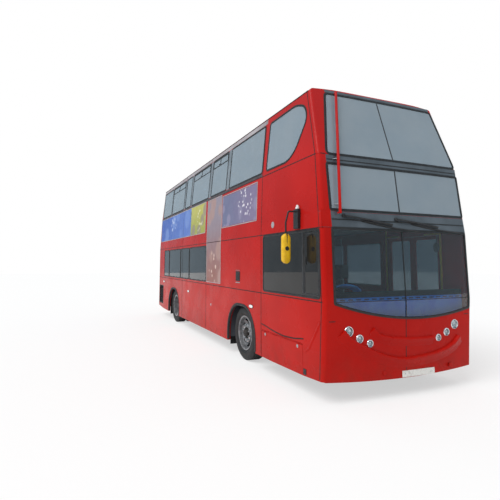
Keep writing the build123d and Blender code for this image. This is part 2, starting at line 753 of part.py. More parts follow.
# Grilles behind the rear wheels: sloping slats in a frame
grilles = []
for _, side in SIDES:
    grille_y = side * (HALF_WIDTH - WALL / 2)
    height = GRILLE_TOP - GRILLE_BOTTOM - 2 * SEAT
    with BuildPart() as grille:
        with Locations(((GRILLE_REAR_X + GRILLE_FRONT_X) / 2, grille_y, (GRILLE_BOTTOM + GRILLE_TOP) / 2)):
            Box(GRILLE_FRONT_X - GRILLE_REAR_X - 2 * SEAT, WALL - LIP, height)
            Box(
                GRILLE_FRONT_X - GRILLE_REAR_X - 2 * GRILLE_FRAME, WALL, height - 2 * GRILLE_FRAME,
                mode=Mode.SUBTRACT,
            )
        pitch = (height - 2 * GRILLE_FRAME) / SLATS
        for number in range(SLATS):
            slat_z = GRILLE_BOTTOM + GRILLE_FRAME + (number + 0.5) * pitch
            slope = Rotation(side * -SLAT_SLOPE, 0, 0)
            with Locations(Location(((GRILLE_REAR_X + GRILLE_FRONT_X) / 2, grille_y, slat_z)) * slope):
                Box(GRILLE_FRONT_X - GRILLE_REAR_X - GRILLE_FRAME, SLAT_DEPTH, SLAT_THICK)
    grilles.append(grille.part.solid())
keep(Compound(children=grilles), "side_grilles")

# Lamps: round units in the mask's and the rear panel's bores
with BuildPart() as headlamps:
    for y, z, radius in HEADLAMPS:
        for side in (-1, 1):
            face_x = front_x(z) + level(z, 2) * (1 - (y / HALF_WIDTH) ** 2)
            with Locations((face_x - LAMP_DEPTH / 2 - SEAT, side * y, z)):
                Cylinder(radius, LAMP_DEPTH, rotation=(0, 90, 0))
keep(Compound(children=headlamps.part.solids()), "headlamps")
with BuildPart() as rear_lamps:
    for y, z, radius in REAR_LAMPS:
        for side in (-1, 1):
            with Locations((-HALF_LENGTH + LAMP_DEPTH / 2, side * y, z)):
                Cylinder(radius, LAMP_DEPTH, rotation=(0, 90, 0))
keep(Compound(children=rear_lamps.part.solids()), "rear_lamps")

# Glass: the outer skin inside each opening, a seat's clearance smaller all round
glass_walls = glass_skin - side_prism(
    profile_region(lambda z: front_x(z) - WALL, lambda z: HALF_LENGTH + WALL, SKIRT_LEVEL, LOFT_TOP)
)
offside_glass = glass_walls & window_prism(-1, upper_shapes + offside_shapes, SEAT)
nearside_glass = glass_walls & window_prism(1, upper_shapes + nearside_shapes, SEAT)
side_glass = offside_glass.solids() + nearside_glass.solids()
keep(Compound(children=side_glass), "side_glass")


front_skin = glass_skin & block(0, HALF_LENGTH + WALL, -WIDE, WIDE, SKIRT_LEVEL, LOFT_TOP)
front_glass = []
for name in ("windscreen", "sign", "upper_screen"):
    front_glass = front_glass + (front_skin & front_opening(name, SEAT)).solids()
with BuildPart() as rear_pane:
    with BuildSketch(Plane.YZ):
        with Locations((0, (REAR_SCREEN_SILL + REAR_SCREEN_HEAD) / 2)):
            RectangleRounded(
                2 * REAR_SCREEN_HALF - 2 * SEAT, REAR_SCREEN_HEAD - REAR_SCREEN_SILL - 2 * SEAT, PANE_RADIUS
            )
    extrude(amount=-HALF_LENGTH - WALL)
end_glass = front_glass + (glass_skin & rear_pane.part).solids()
keep(Compound(children=end_glass), "end_glass")

# Chassis: two rails, cross-members, and the seats of the rear axle
with BuildPart() as chassis:
    rail_mid_x = (RAIL_FRONT_X + RAIL_REAR_X) / 2
    rail_mid_z = (RAIL_TOP + RAIL_BOTTOM) / 2
    with Locations((rail_mid_x, RAIL_Y, rail_mid_z), (rail_mid_x, -RAIL_Y, rail_mid_z)):
        Box(RAIL_FRONT_X - RAIL_REAR_X, RAIL_WIDTH, RAIL_HEIGHT)
    with Locations(*[(x, 0, rail_mid_z) for x in CROSS_MEMBERS]):
        Box(RAIL_WIDTH, 2 * RAIL_Y, RAIL_HEIGHT)
    seat_height = HUB_Z - AXLE_TUBE_RADIUS - SEAT - RAIL_TOP
    with Locations(*[(REAR_AXLE_X, y, RAIL_TOP + seat_height / 2) for y in (-RAIL_Y, RAIL_Y)]):
        Box(RAIL_WIDTH, RAIL_WIDTH, seat_height)
    for y in (-RAIL_Y, RAIL_Y):
        with Locations((RAIL_FRONT_X + TOW_EYE_REACH / 2, y, rail_mid_z)):
            Box(TOW_EYE_REACH, TOW_EYE_WIDTH, TOW_EYE_THICK)
            Cylinder(TOW_EYE_BORE, 2 * TOW_EYE_THICK, mode=Mode.SUBTRACT)
        with Locations((JACK_PAD_X, y, RAIL_BOTTOM - JACK_PAD[2] / 2)):
            Box(*JACK_PAD)
keep(chassis.part, "chassis_frame")
with BuildPart() as engine:
    engine_mid_x = (ENGINE_X[0] + ENGINE_X[1]) / 2
    with Locations((engine_mid_x, 0, (RAIL_TOP + ENGINE_TOP) / 2)):
        Box(ENGINE_X[1] - ENGINE_X[0], ENGINE_WIDTH, ENGINE_TOP - RAIL_TOP)
keep(engine.part, "engine_block")

# Lower floor: front deck, step, rear deck, engine bulkhead and shelf, cab platform, wheel boxes
floor_y = HALF_WIDTH - WALL - SEAT
front_floor_x = front_x(FLOOR) - WALL - LIP
lower_floor = block(STEP_X, front_floor_x, -floor_y, floor_y, RAIL_TOP, FLOOR)
lower_floor = lower_floor + block(STEP_X - SHEET, STEP_X, -floor_y, floor_y, RAIL_TOP, REAR_FLOOR)
lower_floor = lower_floor + block(BULKHEAD_X, STEP_X, -floor_y, floor_y, REAR_FLOOR - FLOOR_THICK, REAR_FLOOR)
lower_floor = lower_floor + block(BULKHEAD_X - SHEET, BULKHEAD_X, -floor_y, floor_y, RAIL_TOP, ENGINE_SHELF)
lower_floor = lower_floor + block(
    -HALF_LENGTH + WALL + LIP, BULKHEAD_X, -floor_y, floor_y, ENGINE_SHELF - SHEET, ENGINE_SHELF
)
lower_floor = lower_floor + block(CAB_REAR_X, CAB_FRONT_X, -floor_y, CAB_SIDE_Y, FLOOR, CAB_FLOOR)
for axle_x in (FRONT_AXLE_X, REAR_AXLE_X):
    for side in (-1, 1):
        reach = ARCH_HALF + WHEEL_ROOM
        inner_y = side * (BOX_INNER_Y - SHEET)
        outer_y = side * floor_y
        lower_floor = lower_floor + block(
            axle_x - reach - SHEET, axle_x + reach + SHEET,
            min(inner_y, outer_y), max(inner_y, outer_y), RAIL_TOP, BOX_TOP + SHEET,
        )
for axle_x in (FRONT_AXLE_X, REAR_AXLE_X):
    for side in (-1, 1):
        reach = ARCH_HALF + WHEEL_ROOM
        inner_y = side * BOX_INNER_Y
        outer_y = side * HALF_WIDTH
        lower_floor = lower_floor - block(
            axle_x - reach, axle_x + reach, min(inner_y, outer_y), max(inner_y, outer_y), 0, BOX_TOP
        )
lower_floor = lower_floor - block(
    REAR_AXLE_X - ARCH_HALF - WHEEL_ROOM - SHEET, REAR_AXLE_X + ARCH_HALF + WHEEL_ROOM + SHEET,
    -HALF_WIDTH, HALF_WIDTH, 0, REAR_FLOOR - FLOOR_THICK,
)
keep(Compound(children=lower_floor.solids()), "lower_floor")

# Upper floor, open over the stairs
upper_y = half_y(UPPER_FLOOR) - WALL - SEAT
upper_floor = block(
    rear_x(UPPER_FLOOR) + WALL + LIP, front_x(UPPER_FLOOR) - WALL - LIP, -upper_y, upper_y,
    UPPER_FLOOR - UPPER_FLOOR_THICK, UPPER_FLOOR,
)
upper_floor = upper_floor - block(
    STAIRWELL_X[0], STAIRWELL_X[1], -HALF_WIDTH, STAIR_INNER_Y + TREAD + DOOR_GAP,
    UPPER_FLOOR - 2 * UPPER_FLOOR_THICK, UPPER_FLOOR + WALL,
)
keep(upper_floor, "upper_floor")

# Stairs climbing forward over the offside wheel box, with a side plate
rise = (UPPER_FLOOR - FLOOR) / STAIR_RISERS
zigzag = []
for number in range(STAIR_RISERS):
    step_x = STAIR_FOOT_X + number * STAIR_GOING
    zigzag.append((step_x, FLOOR + SEAT + number * rise))
    zigzag.append((step_x, FLOOR + (number + 1) * rise))
stair_top_x = STAIR_FOOT_X + (STAIR_RISERS - 1) * STAIR_GOING
landing_x = STAIRWELL_X[1] - SEAT
landing_z = UPPER_FLOOR - STAIR_DEPTH
soffit_x = STAIR_FOOT_X + STAIR_DEPTH
underside = [
    (landing_x, landing_z),
    (soffit_x + (landing_z - FLOOR - SEAT) * STAIR_GOING / rise, landing_z),
    (soffit_x, FLOOR + SEAT),
]
with BuildPart() as stairs:
    with BuildSketch(Plane.XZ.offset(-STAIR_INNER_Y)):
        with BuildLine():
            Polyline(*zigzag, (landing_x, UPPER_FLOOR), *underside, close=True)
        make_face()
    extrude(amount=STAIR_INNER_Y - STAIR_OUTER_Y)
    with BuildSketch(Plane.XZ.offset(-STAIR_INNER_Y - TREAD)):
        with BuildLine():
            Polyline(
                (STAIR_FOOT_X, FLOOR + SEAT),
                (STAIR_FOOT_X, FLOOR + SIDE_PLATE),
                (stair_top_x, UPPER_FLOOR - UPPER_FLOOR_THICK - SEAT),
                (landing_x, UPPER_FLOOR - UPPER_FLOOR_THICK - SEAT),
                *underside,
                close=True,
            )
        make_face()
    extrude(amount=TREAD)
keep(stairs.part, "staircase")


# Passenger seats: a padded L on a plinth, two places wide
def bench(back_x, base_z, mid_y, width):
    """One seat facing forward, whose back stands at back_x on a floor at base_z."""
    front = back_x + SEAT_DEPTH
    cushion_top = base_z + SEAT_HEIGHT
    with BuildPart() as seat:
        with BuildSketch(Plane.XZ.offset(-mid_y)) as outline:
            with BuildLine():
                Polyline(
                    (back_x, cushion_top - SEAT_PADDING),
                    (front, cushion_top - SEAT_PADDING),
                    (front, cushion_top),
                    (back_x + SEAT_PADDING, cushion_top),
                    (back_x, base_z + SEAT_BACK),
                    (back_x - SEAT_PADDING, base_z + SEAT_BACK),
                    close=True,
                )
            make_face()
        extrude(amount=width / 2, both=True)
        leg_height = SEAT_HEIGHT - SEAT_PADDING - SEAT
        with Locations((back_x + SEAT_DEPTH / 2, mid_y, base_z + SEAT + leg_height / 2)):
            Box(SEAT_DEPTH / 3, PEDESTAL, leg_height)
    return seat.part


for name, rows, mid_y in (
    ("lower_seats", LOWER_SEATS, SEAT_MID_Y), ("upper_seats", UPPER_SEATS, UPPER_SEAT_MID_Y)
):
    seats = []
    for base_z, side, backs in rows:
        for back_x in backs:
            seats.append(bench(back_x, base_z, side * mid_y, SEAT_WIDTH))
    keep(Compound(children=seats), name)

# Cab: dashboard, steering wheel on its column, driver's seat, and the partition round it
with BuildPart() as dashboard:
    with BuildSketch(Plane.XZ):
        with BuildLine():
            Polyline(*DASH_PROFILE, close=True)
        make_face()
    extrude(amount=HALF_WIDTH - WALL - SEAT, both=True)
keep(dashboard.part, "dashboard")

steer_reach = STEER_Z - CAB_FLOOR - SEAT - STEER_COLUMN * math.sin(STEER_TILT)
wheel_axis = (-math.sin(STEER_TILT), 0, math.cos(STEER_TILT))
wheel_plane = Plane(origin=(STEER_X, CAB_MID_Y, STEER_Z), z_dir=wheel_axis)
with BuildPart() as steering_wheel:
    with BuildSketch(Plane(origin=wheel_plane.origin, x_dir=wheel_plane.x_dir, z_dir=wheel_plane.y_dir)):
        with Locations((STEER_RADIUS, 0)):
            Circle(STEER_RIM)
    revolve(axis=Axis(wheel_plane.origin, wheel_plane.z_dir))
    with BuildSketch(wheel_plane):
        Circle(STEER_HUB)
        Rectangle(2 * STEER_RADIUS, 2 * STEER_RIM)
        Rectangle(2 * STEER_RIM, 2 * STEER_RADIUS)
    extrude(amount=STEER_RIM / 2, both=True)
    with BuildSketch(wheel_plane):
        Circle(STEER_COLUMN)
    extrude(amount=-steer_reach / math.cos(STEER_TILT))
keep(steering_wheel.part, "steering_wheel")

driver_seat = bench(DRIVER_SEAT_X, CAB_FLOOR, CAB_MID_Y, DRIVER_SEAT_WIDTH)
keep(driver_seat, "driver_seat")

ceiling = UPPER_FLOOR - UPPER_FLOOR_THICK - SEAT
partition = block(
    CAB_REAR_X - SHEET - SEAT, CAB_REAR_X - SEAT, -(half_y(ceiling) - WALL - SEAT), CAB_SIDE_Y,
    FLOOR + SEAT, ceiling,
)
partition = partition + block(
    CAB_REAR_X - SHEET - SEAT, CAB_DOOR_X, CAB_SIDE_Y - SEAT, CAB_SIDE_Y + SEAT + SHEET,
    CAB_FLOOR + SEAT, CAB_DOOR_TOP,
)
partition = partition + block(
    CAB_REAR_X - SHEET - SEAT, CAB_DOOR_X, CAB_SIDE_Y + SEAT, CAB_SIDE_Y + SEAT + SHEET,
    FLOOR + SEAT, CAB_DOOR_TOP,
)
keep(partition, "cab_partition")

# Handrails: poles from floor to ceiling, and a rail round the stairwell upstairs
poles = []
for x, y in LOWER_POLES:
    poles.append(rod((x, y, FLOOR + SEAT), (x, y, ceiling), RAIL_TUBE))
for x, y in UPPER_POLES:
    poles.append(rod((x, y, UPPER_FLOOR + SEAT), (x, y, CEILING - SEAT), RAIL_TUBE))
rail_y = STAIR_INNER_Y + TREAD + DOOR_GAP + 2 * RAIL_TUBE
rail_z = UPPER_FLOOR + GUARD_HEIGHT
guard = rod((STAIRWELL_X[0], rail_y, rail_z), (STAIRWELL_X[1], rail_y, rail_z), RAIL_TUBE)
for x in (STAIRWELL_X[0], (STAIRWELL_X[0] + STAIRWELL_X[1]) / 2, STAIRWELL_X[1]):
    guard = guard + rod((x, rail_y, UPPER_FLOOR + SEAT), (x, rail_y, rail_z), RAIL_TUBE)
poles.append(guard)
keep(Compound(children=poles), "handrails")


# Wheels. Each is drawn round its own axis, at y from its middle outwards, then set in place.
def tyre(mid_y):
    """A tyre with rounded shoulders, turned about the Y axis at height HUB_Z."""
    half = TYRE_WIDTH / 2
    with BuildPart() as ring:
        with BuildSketch(Plane.YZ) as outline:
            with BuildLine():
                Polyline(
                    (mid_y - BEAD_HALF, RIM_RADIUS + SEAT),
                    (mid_y - BEAD_HALF, RIM_FLANGE + SEAT),
                    (mid_y - half, (RIM_RADIUS + TYRE_RADIUS) / 2),
                    (mid_y - half + TREAD_EDGE / 2, TYRE_RADIUS - TREAD_EDGE),
                    (mid_y - half + TREAD_EDGE, TYRE_RADIUS),
                    (mid_y + half - TREAD_EDGE, TYRE_RADIUS),
                    (mid_y + half - TREAD_EDGE / 2, TYRE_RADIUS - TREAD_EDGE),
                    (mid_y + half, (RIM_RADIUS + TYRE_RADIUS) / 2),
                    (mid_y + BEAD_HALF, RIM_FLANGE + SEAT),
                    (mid_y + BEAD_HALF, RIM_RADIUS + SEAT),
                    close=True,
                )
            make_face()
        revolve(axis=Axis.Y)
    return ring.part


def turned(points, side):
    """A closed outline of (distance outwards, radius), turned about the Y axis."""
    with BuildPart() as solid:
        with BuildSketch(Plane.YZ):
            with BuildLine():
                Polyline(*[(side * y, radius) for y, radius in points], close=True)
            make_face()
        revolve(axis=Axis.Y)
    return solid.part


def barrel(mid_y):
    """Outline of a rim's barrel with its two flanges, about mid_y."""
    half = RIM_WIDTH / 2
    inside = RIM_RADIUS - RIM_WALL
    return [
        (mid_y - half - RIM_WALL, inside), (mid_y + half + RIM_WALL, inside),
        (mid_y + half + RIM_WALL, RIM_FLANGE), (mid_y + half, RIM_FLANGE),
        (mid_y + half, RIM_RADIUS), (mid_y - half, RIM_RADIUS),
        (mid_y - half, RIM_FLANGE), (mid_y - half - RIM_WALL, RIM_FLANGE),
    ]


# The discs are welded in the middle of the barrel's wall
WELD_RADIUS = RIM_RADIUS - RIM_WALL / 2
# Outline of a front wheel's disc and hub, and of a rear pair's
FRONT_DISC = (
    (DISC_OUT, 0),
    (DISC_OUT, HUB_RADIUS),
    (DISC_OUT - DISC_DISH, DISC_RING),
    (RIM_WIDTH / 4, WELD_RADIUS),
    (RIM_WIDTH / 4 - RIM_WALL, WELD_RADIUS),
    (DISC_OUT - DISC_DISH - RIM_WALL, DISC_RING),
    (DISC_OUT - RIM_WALL, HUB_RADIUS),
    (-HUB_DEPTH, HUB_RADIUS),
    (-HUB_DEPTH, 0),
)
REAR_DISCS = (
    (-DISC_HALF, 0),
    (DISC_HALF, 0),
    (DISC_HALF, DISC_RING),
    (TWIN_PITCH / 2, WELD_RADIUS),
    (TWIN_PITCH / 2 - 2 * RIM_WALL, WELD_RADIUS),
    (0, DISC_RING + RIM_WALL),
    (-TWIN_PITCH / 2 + 2 * RIM_WALL, WELD_RADIUS),
    (-TWIN_PITCH / 2, WELD_RADIUS),
    (-DISC_HALF, DISC_RING),
)


def bar_outline(start, end, radius):
    """Outline of a turned bar between two distances outwards."""
    return [(start, 0), (end, 0), (end, radius), (start, radius)]


for side_name, side in SIDES:
    hub_place = Location((FRONT_AXLE_X, side * TRACK_Y, HUB_Z))
    keep(hub_place * tyre(0), f"front_tyre_{side_name}")
    rim = turned(barrel(0), side) + turned(FRONT_DISC, side)
    rim = rim + turned(bar_outline(DISC_OUT, DISC_OUT + CAP_OUT, CAP_RADIUS), side)
    rim = rim - turned(bar_outline(-HUB_DEPTH - 1, SPINDLE_END, SPINDLE_RADIUS + RUNNING_FIT), side)
    keep(hub_place * rim, f"front_wheel_{side_name}")

    # Knuckle: lugs above and below the beam's eye, the kingpin, a yoke and the spindle
    pin_y = side * KINGPIN_Y
    yoke_y = side * (KINGPIN_Y + EYE_RADIUS + YOKE_GAP + YOKE_THICK / 2)
    with BuildPart() as knuckle:
        for lug_z in (HUB_Z + EYE_HALF + SEAT + LUG_THICK / 2, HUB_Z - EYE_HALF - SEAT - LUG_THICK / 2):
            with Locations((FRONT_AXLE_X, pin_y, lug_z)):
                Cylinder(EYE_RADIUS, LUG_THICK)
            with Locations((FRONT_AXLE_X, (pin_y + yoke_y) / 2, lug_z)):
                Box(2 * EYE_RADIUS, abs(yoke_y - pin_y), LUG_THICK)
        with Locations((FRONT_AXLE_X, yoke_y, HUB_Z)):
            Box(2 * EYE_RADIUS, YOKE_THICK, 2 * (EYE_HALF + SEAT + LUG_THICK))
        with Locations((FRONT_AXLE_X, pin_y, HUB_Z)):
            Cylinder(KINGPIN_RADIUS, 2 * (EYE_HALF + LUG_THICK))
        spindle_end_y = side * (TRACK_Y + SPINDLE_END - SEAT)
        with Locations((FRONT_AXLE_X, (yoke_y + spindle_end_y) / 2, HUB_Z)):
            Cylinder(SPINDLE_RADIUS, abs(spindle_end_y - yoke_y), rotation=(90, 0, 0))
    keep(knuckle.part, f"steering_knuckle_{side_name}")

    # Twin wheels at the back, the discs back to back on the hub
    twin_place = Location((REAR_AXLE_X, side * (TRACK_Y - TWIN_PITCH / 2), HUB_Z))
    twins = [twin_place * tyre(side * TWIN_PITCH / 2), twin_place * tyre(-side * TWIN_PITCH / 2)]
    keep(Compound(children=[part.solid() for part in twins]), f"rear_tyres_{side_name}")
    rear_rim = turned(barrel(TWIN_PITCH / 2), side) + turned(barrel(-TWIN_PITCH / 2), side)
    rear_rim = rear_rim + turned(REAR_DISCS, side)
    rear_rim = rear_rim + turned(bar_outline(0, REAR_HUB_OUT, HUB_RADIUS), side)
    rear_rim = rear_rim + turned(bar_outline(REAR_HUB_OUT, REAR_HUB_OUT + CAP_OUT, CAP_RADIUS), side)
    spindle_bore = bar_outline(-TWIN_PITCH, REAR_HUB_OUT, REAR_SPINDLE_RADIUS + RUNNING_FIT)
    rear_rim = rear_rim - turned(spindle_bore, side)
    keep(twin_place * rear_rim, f"rear_wheels_{side_name}")

# Front axle: a dropped beam under the rails, risers and the kingpin eyes
BEAM_TOP = RAIL_BOTTOM - SEAT
with BuildPart() as front_axle:
    with Locations((FRONT_AXLE_X, 0, BEAM_TOP - BEAM_HEIGHT / 2)):
        Box(BEAM_WIDTH, 2 * RISER_Y, BEAM_HEIGHT)
    for side in (-1, 1):
        riser_height = HUB_Z + ARM_HALF - BEAM_TOP + BEAM_HEIGHT
        riser_y = side * (RISER_Y - RISER_WIDTH / 2)
        with Locations((FRONT_AXLE_X, riser_y, HUB_Z + ARM_HALF - riser_height / 2)):
            Box(BEAM_WIDTH, RISER_WIDTH, riser_height)
        with Locations((FRONT_AXLE_X, side * (RISER_Y + KINGPIN_Y) / 2, HUB_Z)):
            Box(BEAM_WIDTH / 2, KINGPIN_Y - RISER_Y, 2 * ARM_HALF)
        with Locations((FRONT_AXLE_X, side * KINGPIN_Y, HUB_Z)):
            Cylinder(EYE_RADIUS, 2 * EYE_HALF)
    with Locations((FRONT_AXLE_X, KINGPIN_Y, HUB_Z), (FRONT_AXLE_X, -KINGPIN_Y, HUB_Z)):
        Cylinder(KINGPIN_RADIUS + RUNNING_FIT, 3 * EYE_HALF, mode=Mode.SUBTRACT)
keep(front_axle.part, "front_axle")

# Rear axle: a tube with the drive in its middle and a spindle at each end
with BuildPart() as rear_axle:
    tube_half = TRACK_Y - TWIN_PITCH - TYRE_WIDTH / 2 - DOOR_GAP
    with Locations((REAR_AXLE_X, 0, HUB_Z)):
        Cylinder(AXLE_TUBE_RADIUS, 2 * tube_half, rotation=(90, 0, 0))
        Cylinder(DRIVE_RADIUS, DRIVE_WIDTH, rotation=(90, 0, 0))
        spindle_reach = TRACK_Y - TWIN_PITCH / 2 + REAR_HUB_OUT - SEAT
        Cylinder(REAR_SPINDLE_RADIUS, 2 * spindle_reach, rotation=(90, 0, 0))
keep(rear_axle.part, "rear_axle")

# Doors: each leaf hangs on the arms of its own post, at the middle of its reach
for doorway_name, mid_x in DOORWAYS:
    for leaf_name, way in LEAVES:
        post_x = mid_x + way * LEAF_REACH
        pin_x = post_x - way * LEAF_REACH / 2
        post = rod((post_x, POST_Y, FLOOR + SEAT), (post_x, POST_Y, ceiling), POST_RADIUS)
        arm_low = ARM_Z - ARM_HEIGHT / 2
        arm_top = ARM_Z + ARM_HEIGHT / 2
        arm = block(
            min(post_x, pin_x), max(post_x, pin_x), POST_Y - ARM_HALF_WIDTH, POST_Y + ARM_HALF_WIDTH,
            arm_low, arm_top,
        )
        eye = rod((pin_x, POST_Y, arm_low), (pin_x, POST_Y, arm_top), ARM_EYE)
        hole_ends = ((pin_x, POST_Y, ARM_Z - ARM_HEIGHT), (pin_x, POST_Y, ARM_Z + ARM_HEIGHT))
        post = post + arm + eye - rod(*hole_ends, ARM_PIN + RUNNING_FIT)
        # The bracket stands inside the leaf's top rail, and its pin rises through the arm's eye
        plate_top = LEAF_TOP - ARM_PLATE
        bracket = block(
            pin_x - ARM_EYE, pin_x + ARM_EYE, POST_Y - ARM_EYE, LEAF_FACE_Y - LEAF_THICK / 2,
            plate_top - ARM_PLATE, plate_top,
        )
        bracket = bracket + rod((pin_x, POST_Y, plate_top - ARM_PLATE), (pin_x, POST_Y, arm_top), ARM_PIN)
        keep(post, f"{doorway_name}_post_{leaf_name}")
        outer_x = post_x + way * LEAF_SKIRT
        meeting_x = mid_x + way * DOOR_GAP / 2
        x0 = min(outer_x, meeting_x)
        x1 = max(outer_x, meeting_x)
        pane_width = x1 - x0 - 2 * LEAF_FRAME
        pane_height = LEAF_TOP - LEAF_BOTTOM - 2 * LEAF_FRAME
        leaf = block(x0, x1, LEAF_FACE_Y - LEAF_THICK, LEAF_FACE_Y, LEAF_BOTTOM, LEAF_TOP)
        with BuildPart() as pane_hole:
            with BuildSketch(Plane.XZ.offset(-LEAF_FACE_Y - WALL)):
                with Locations(((x0 + x1) / 2, (LEAF_BOTTOM + LEAF_TOP) / 2)):
                    RectangleRounded(pane_width, pane_height, PANE_RADIUS)
            extrude(amount=2 * WALL + LEAF_THICK)
        leaf = leaf - pane_hole.part + bracket
        keep(leaf, f"{doorway_name}_leaf_{leaf_name}")
        with BuildPart() as pane:
            with BuildSketch(Plane.XZ.offset(-LEAF_FACE_Y + SEAT)):
                with Locations(((x0 + x1) / 2, (LEAF_BOTTOM + LEAF_TOP) / 2)):
                    RectangleRounded(pane_width - 2 * SEAT, pane_height - 2 * SEAT, PANE_RADIUS)
            extrude(amount=SKIN)
        keep(pane.part, f"{doorway_name}_glass_{leaf_name}")

# Mirrors on bent arms, one each side, and the guard pole up the front's offside edge
arms = []
housings = []
for side in (-1, 1):
    bracket = block(
        MIRROR_BRACKET_X[0], MIRROR_BRACKET_X[1],
        min(side * (half_y(MIRROR_BRACKET_Z[0]) + SEAT), side * MIRROR_BRACKET_Y),
        max(side * (half_y(MIRROR_BRACKET_Z[0]) + SEAT), side * MIRROR_BRACKET_Y),
        MIRROR_BRACKET_Z[0], MIRROR_BRACKET_Z[1],
    )
    housing_y = side * (MIRROR_Y[0] + MIRROR_Y[1]) / 2
    arm = tube_run(
        [
            (MIRROR_X, side * (MIRROR_BRACKET_Y - MIRROR_ARM_RADIUS), MIRROR_ARM_Z),
            (MIRROR_X, side * MIRROR_ARM_Y, MIRROR_ARM_Z),
            (MIRROR_X, housing_y, MIRROR_ARM_LOW),
            (MIRROR_X, housing_y, MIRROR_Z[1] + SEAT),
        ],
        MIRROR_ARM_RADIUS, MIRROR_ARM_BEND,
    )
    arms.append((bracket + arm).solid())
    with BuildPart() as housing:
        with Locations((MIRROR_X, housing_y, (MIRROR_Z[0] + MIRROR_Z[1]) / 2)):
            Box(MIRROR_DEPTH, MIRROR_Y[1] - MIRROR_Y[0], MIRROR_Z[1] - MIRROR_Z[0])
        fillet(housing.edges(), MIRROR_ROUND)
    housings.append(housing.part.solid())
keep(Compound(children=arms), "mirror_arms")
keep(Compound(children=housings), "mirror_housings")

pole_points = []
for z, y in POLE_COURSE:
    pole_points.append((front_x(z) + level(z, 2) + POLE_STAND, y, z))
guard_pole = tube_run(pole_points, POLE_RADIUS, POLE_BEND)
for (z, y), (pole_x, _, _) in zip((POLE_COURSE[0], POLE_COURSE[-1]), (pole_points[0], pole_points[-1])):
    foot_z = z + POLE_FOOT * (1 if z < SEAM_HIGH else -1)
    face_x = front_x(foot_z - POLE_FOOT) + level(foot_z, 2) * (1 - (y / HALF_WIDTH) ** 2) + SEAT
    guard_pole = guard_pole + rod((face_x, y, foot_z), (pole_x, y, foot_z), POLE_FOOT)
keep(guard_pole, "guard_pole")

# Blank number plates, front and back
plates = []
nose_at_plate = nose_x(PLATE_Z + PLATE_HEIGHT / 2)
for x0, (y0, y1), mid_z in (
    (nose_at_plate + SEAT, PLATE_FRONT_Y, PLATE_Z), (-HALF_LENGTH, PLATE_REAR_Y, PLATE_REAR_Z)
):
    plate = block(x0, x0 + PLATE_THICK, y0, y1, mid_z - PLATE_HEIGHT / 2, mid_z + PLATE_HEIGHT / 2)
    plates.append(plate.solid())

keep(Compound(children=plates), "number_plates")

# Wipers: a spindle in the header, an arm and a blade along the glass
wipers = []
for pivot, tip in WIPERS:
    spots = []
    for y, z in (pivot, tip):
        spots.append((front_x(z) + level(z, 2) * (1 - (y / HALF_WIDTH) ** 2) + WIPER_STAND, y, z))
    arm = rod(spots[0], spots[1], WIPER_ARM)
    slope_clearance = front_x(pivot[1] - WIPER_BOSS) - front_x(pivot[1]) + SEAT
    spindle_foot = (spots[0][0] - WIPER_STAND + slope_clearance, pivot[0], pivot[1])
    spindle = rod(spindle_foot, (spots[0][0] + 2 * WIPER_ARM, pivot[0], pivot[1]), WIPER_BOSS)
    wipers.append((arm + spindle).solid())
keep(Compound(children=wipers), "wipers")
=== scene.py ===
import math

import bmesh
import bpy
from mathutils import Matrix, Vector


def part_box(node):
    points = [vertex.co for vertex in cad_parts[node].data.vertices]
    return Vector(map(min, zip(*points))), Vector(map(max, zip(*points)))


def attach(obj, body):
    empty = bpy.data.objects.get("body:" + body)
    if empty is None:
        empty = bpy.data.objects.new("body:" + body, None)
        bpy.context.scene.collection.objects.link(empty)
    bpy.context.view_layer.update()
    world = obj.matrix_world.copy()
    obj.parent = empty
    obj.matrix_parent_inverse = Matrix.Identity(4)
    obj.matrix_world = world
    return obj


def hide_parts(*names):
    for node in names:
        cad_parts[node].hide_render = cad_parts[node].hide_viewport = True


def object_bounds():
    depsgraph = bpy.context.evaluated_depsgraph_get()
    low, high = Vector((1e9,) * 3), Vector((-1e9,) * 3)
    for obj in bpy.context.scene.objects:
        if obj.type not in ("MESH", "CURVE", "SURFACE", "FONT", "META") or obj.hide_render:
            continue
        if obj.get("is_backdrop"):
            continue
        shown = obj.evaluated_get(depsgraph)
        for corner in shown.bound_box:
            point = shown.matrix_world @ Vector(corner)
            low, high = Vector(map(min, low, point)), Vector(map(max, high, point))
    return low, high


# Double decker bus. Metres, in the part's own frame: +X front, +Y nearside with the doors, +Z up.
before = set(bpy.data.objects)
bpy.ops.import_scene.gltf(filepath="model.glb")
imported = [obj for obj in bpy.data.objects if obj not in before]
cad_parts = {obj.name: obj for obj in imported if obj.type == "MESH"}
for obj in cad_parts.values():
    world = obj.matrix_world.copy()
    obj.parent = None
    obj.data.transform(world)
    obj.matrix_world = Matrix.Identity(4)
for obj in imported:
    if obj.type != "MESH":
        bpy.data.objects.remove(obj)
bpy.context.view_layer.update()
scene = bpy.context.scene

# Plan of the body at five heights: height, front corner x, bow of the front, rear x, half width
SECTIONS = (
    (0.200, 4.958, 0.060, -5.055, 1.264),
    (1.255, 5.022, 0.033, -5.055, 1.264),
    (2.191, 4.990, 0.022, -5.055, 1.264),
    (3.173, 4.868, 0.020, -4.951, 1.234),
    (4.270, 4.506, 0.020, -4.835, 1.135),
)
FRONT_X, BOW, REAR_X, HALF_WIDTH = 1, 2, 3, 4
SEAM_LOW = 1.255
SEAM_FLOOR = 2.191
SEAM_HIGH = 3.173
ROOF_SEAM = 4.165
BAY_SEAMS = (3.198, 0.250, -1.918)
TAIL_X = -5.055
FLOOR = 0.360
REAR_FLOOR = 0.700
BOX_DECK = 1.070
UPPER_FLOOR = 2.400

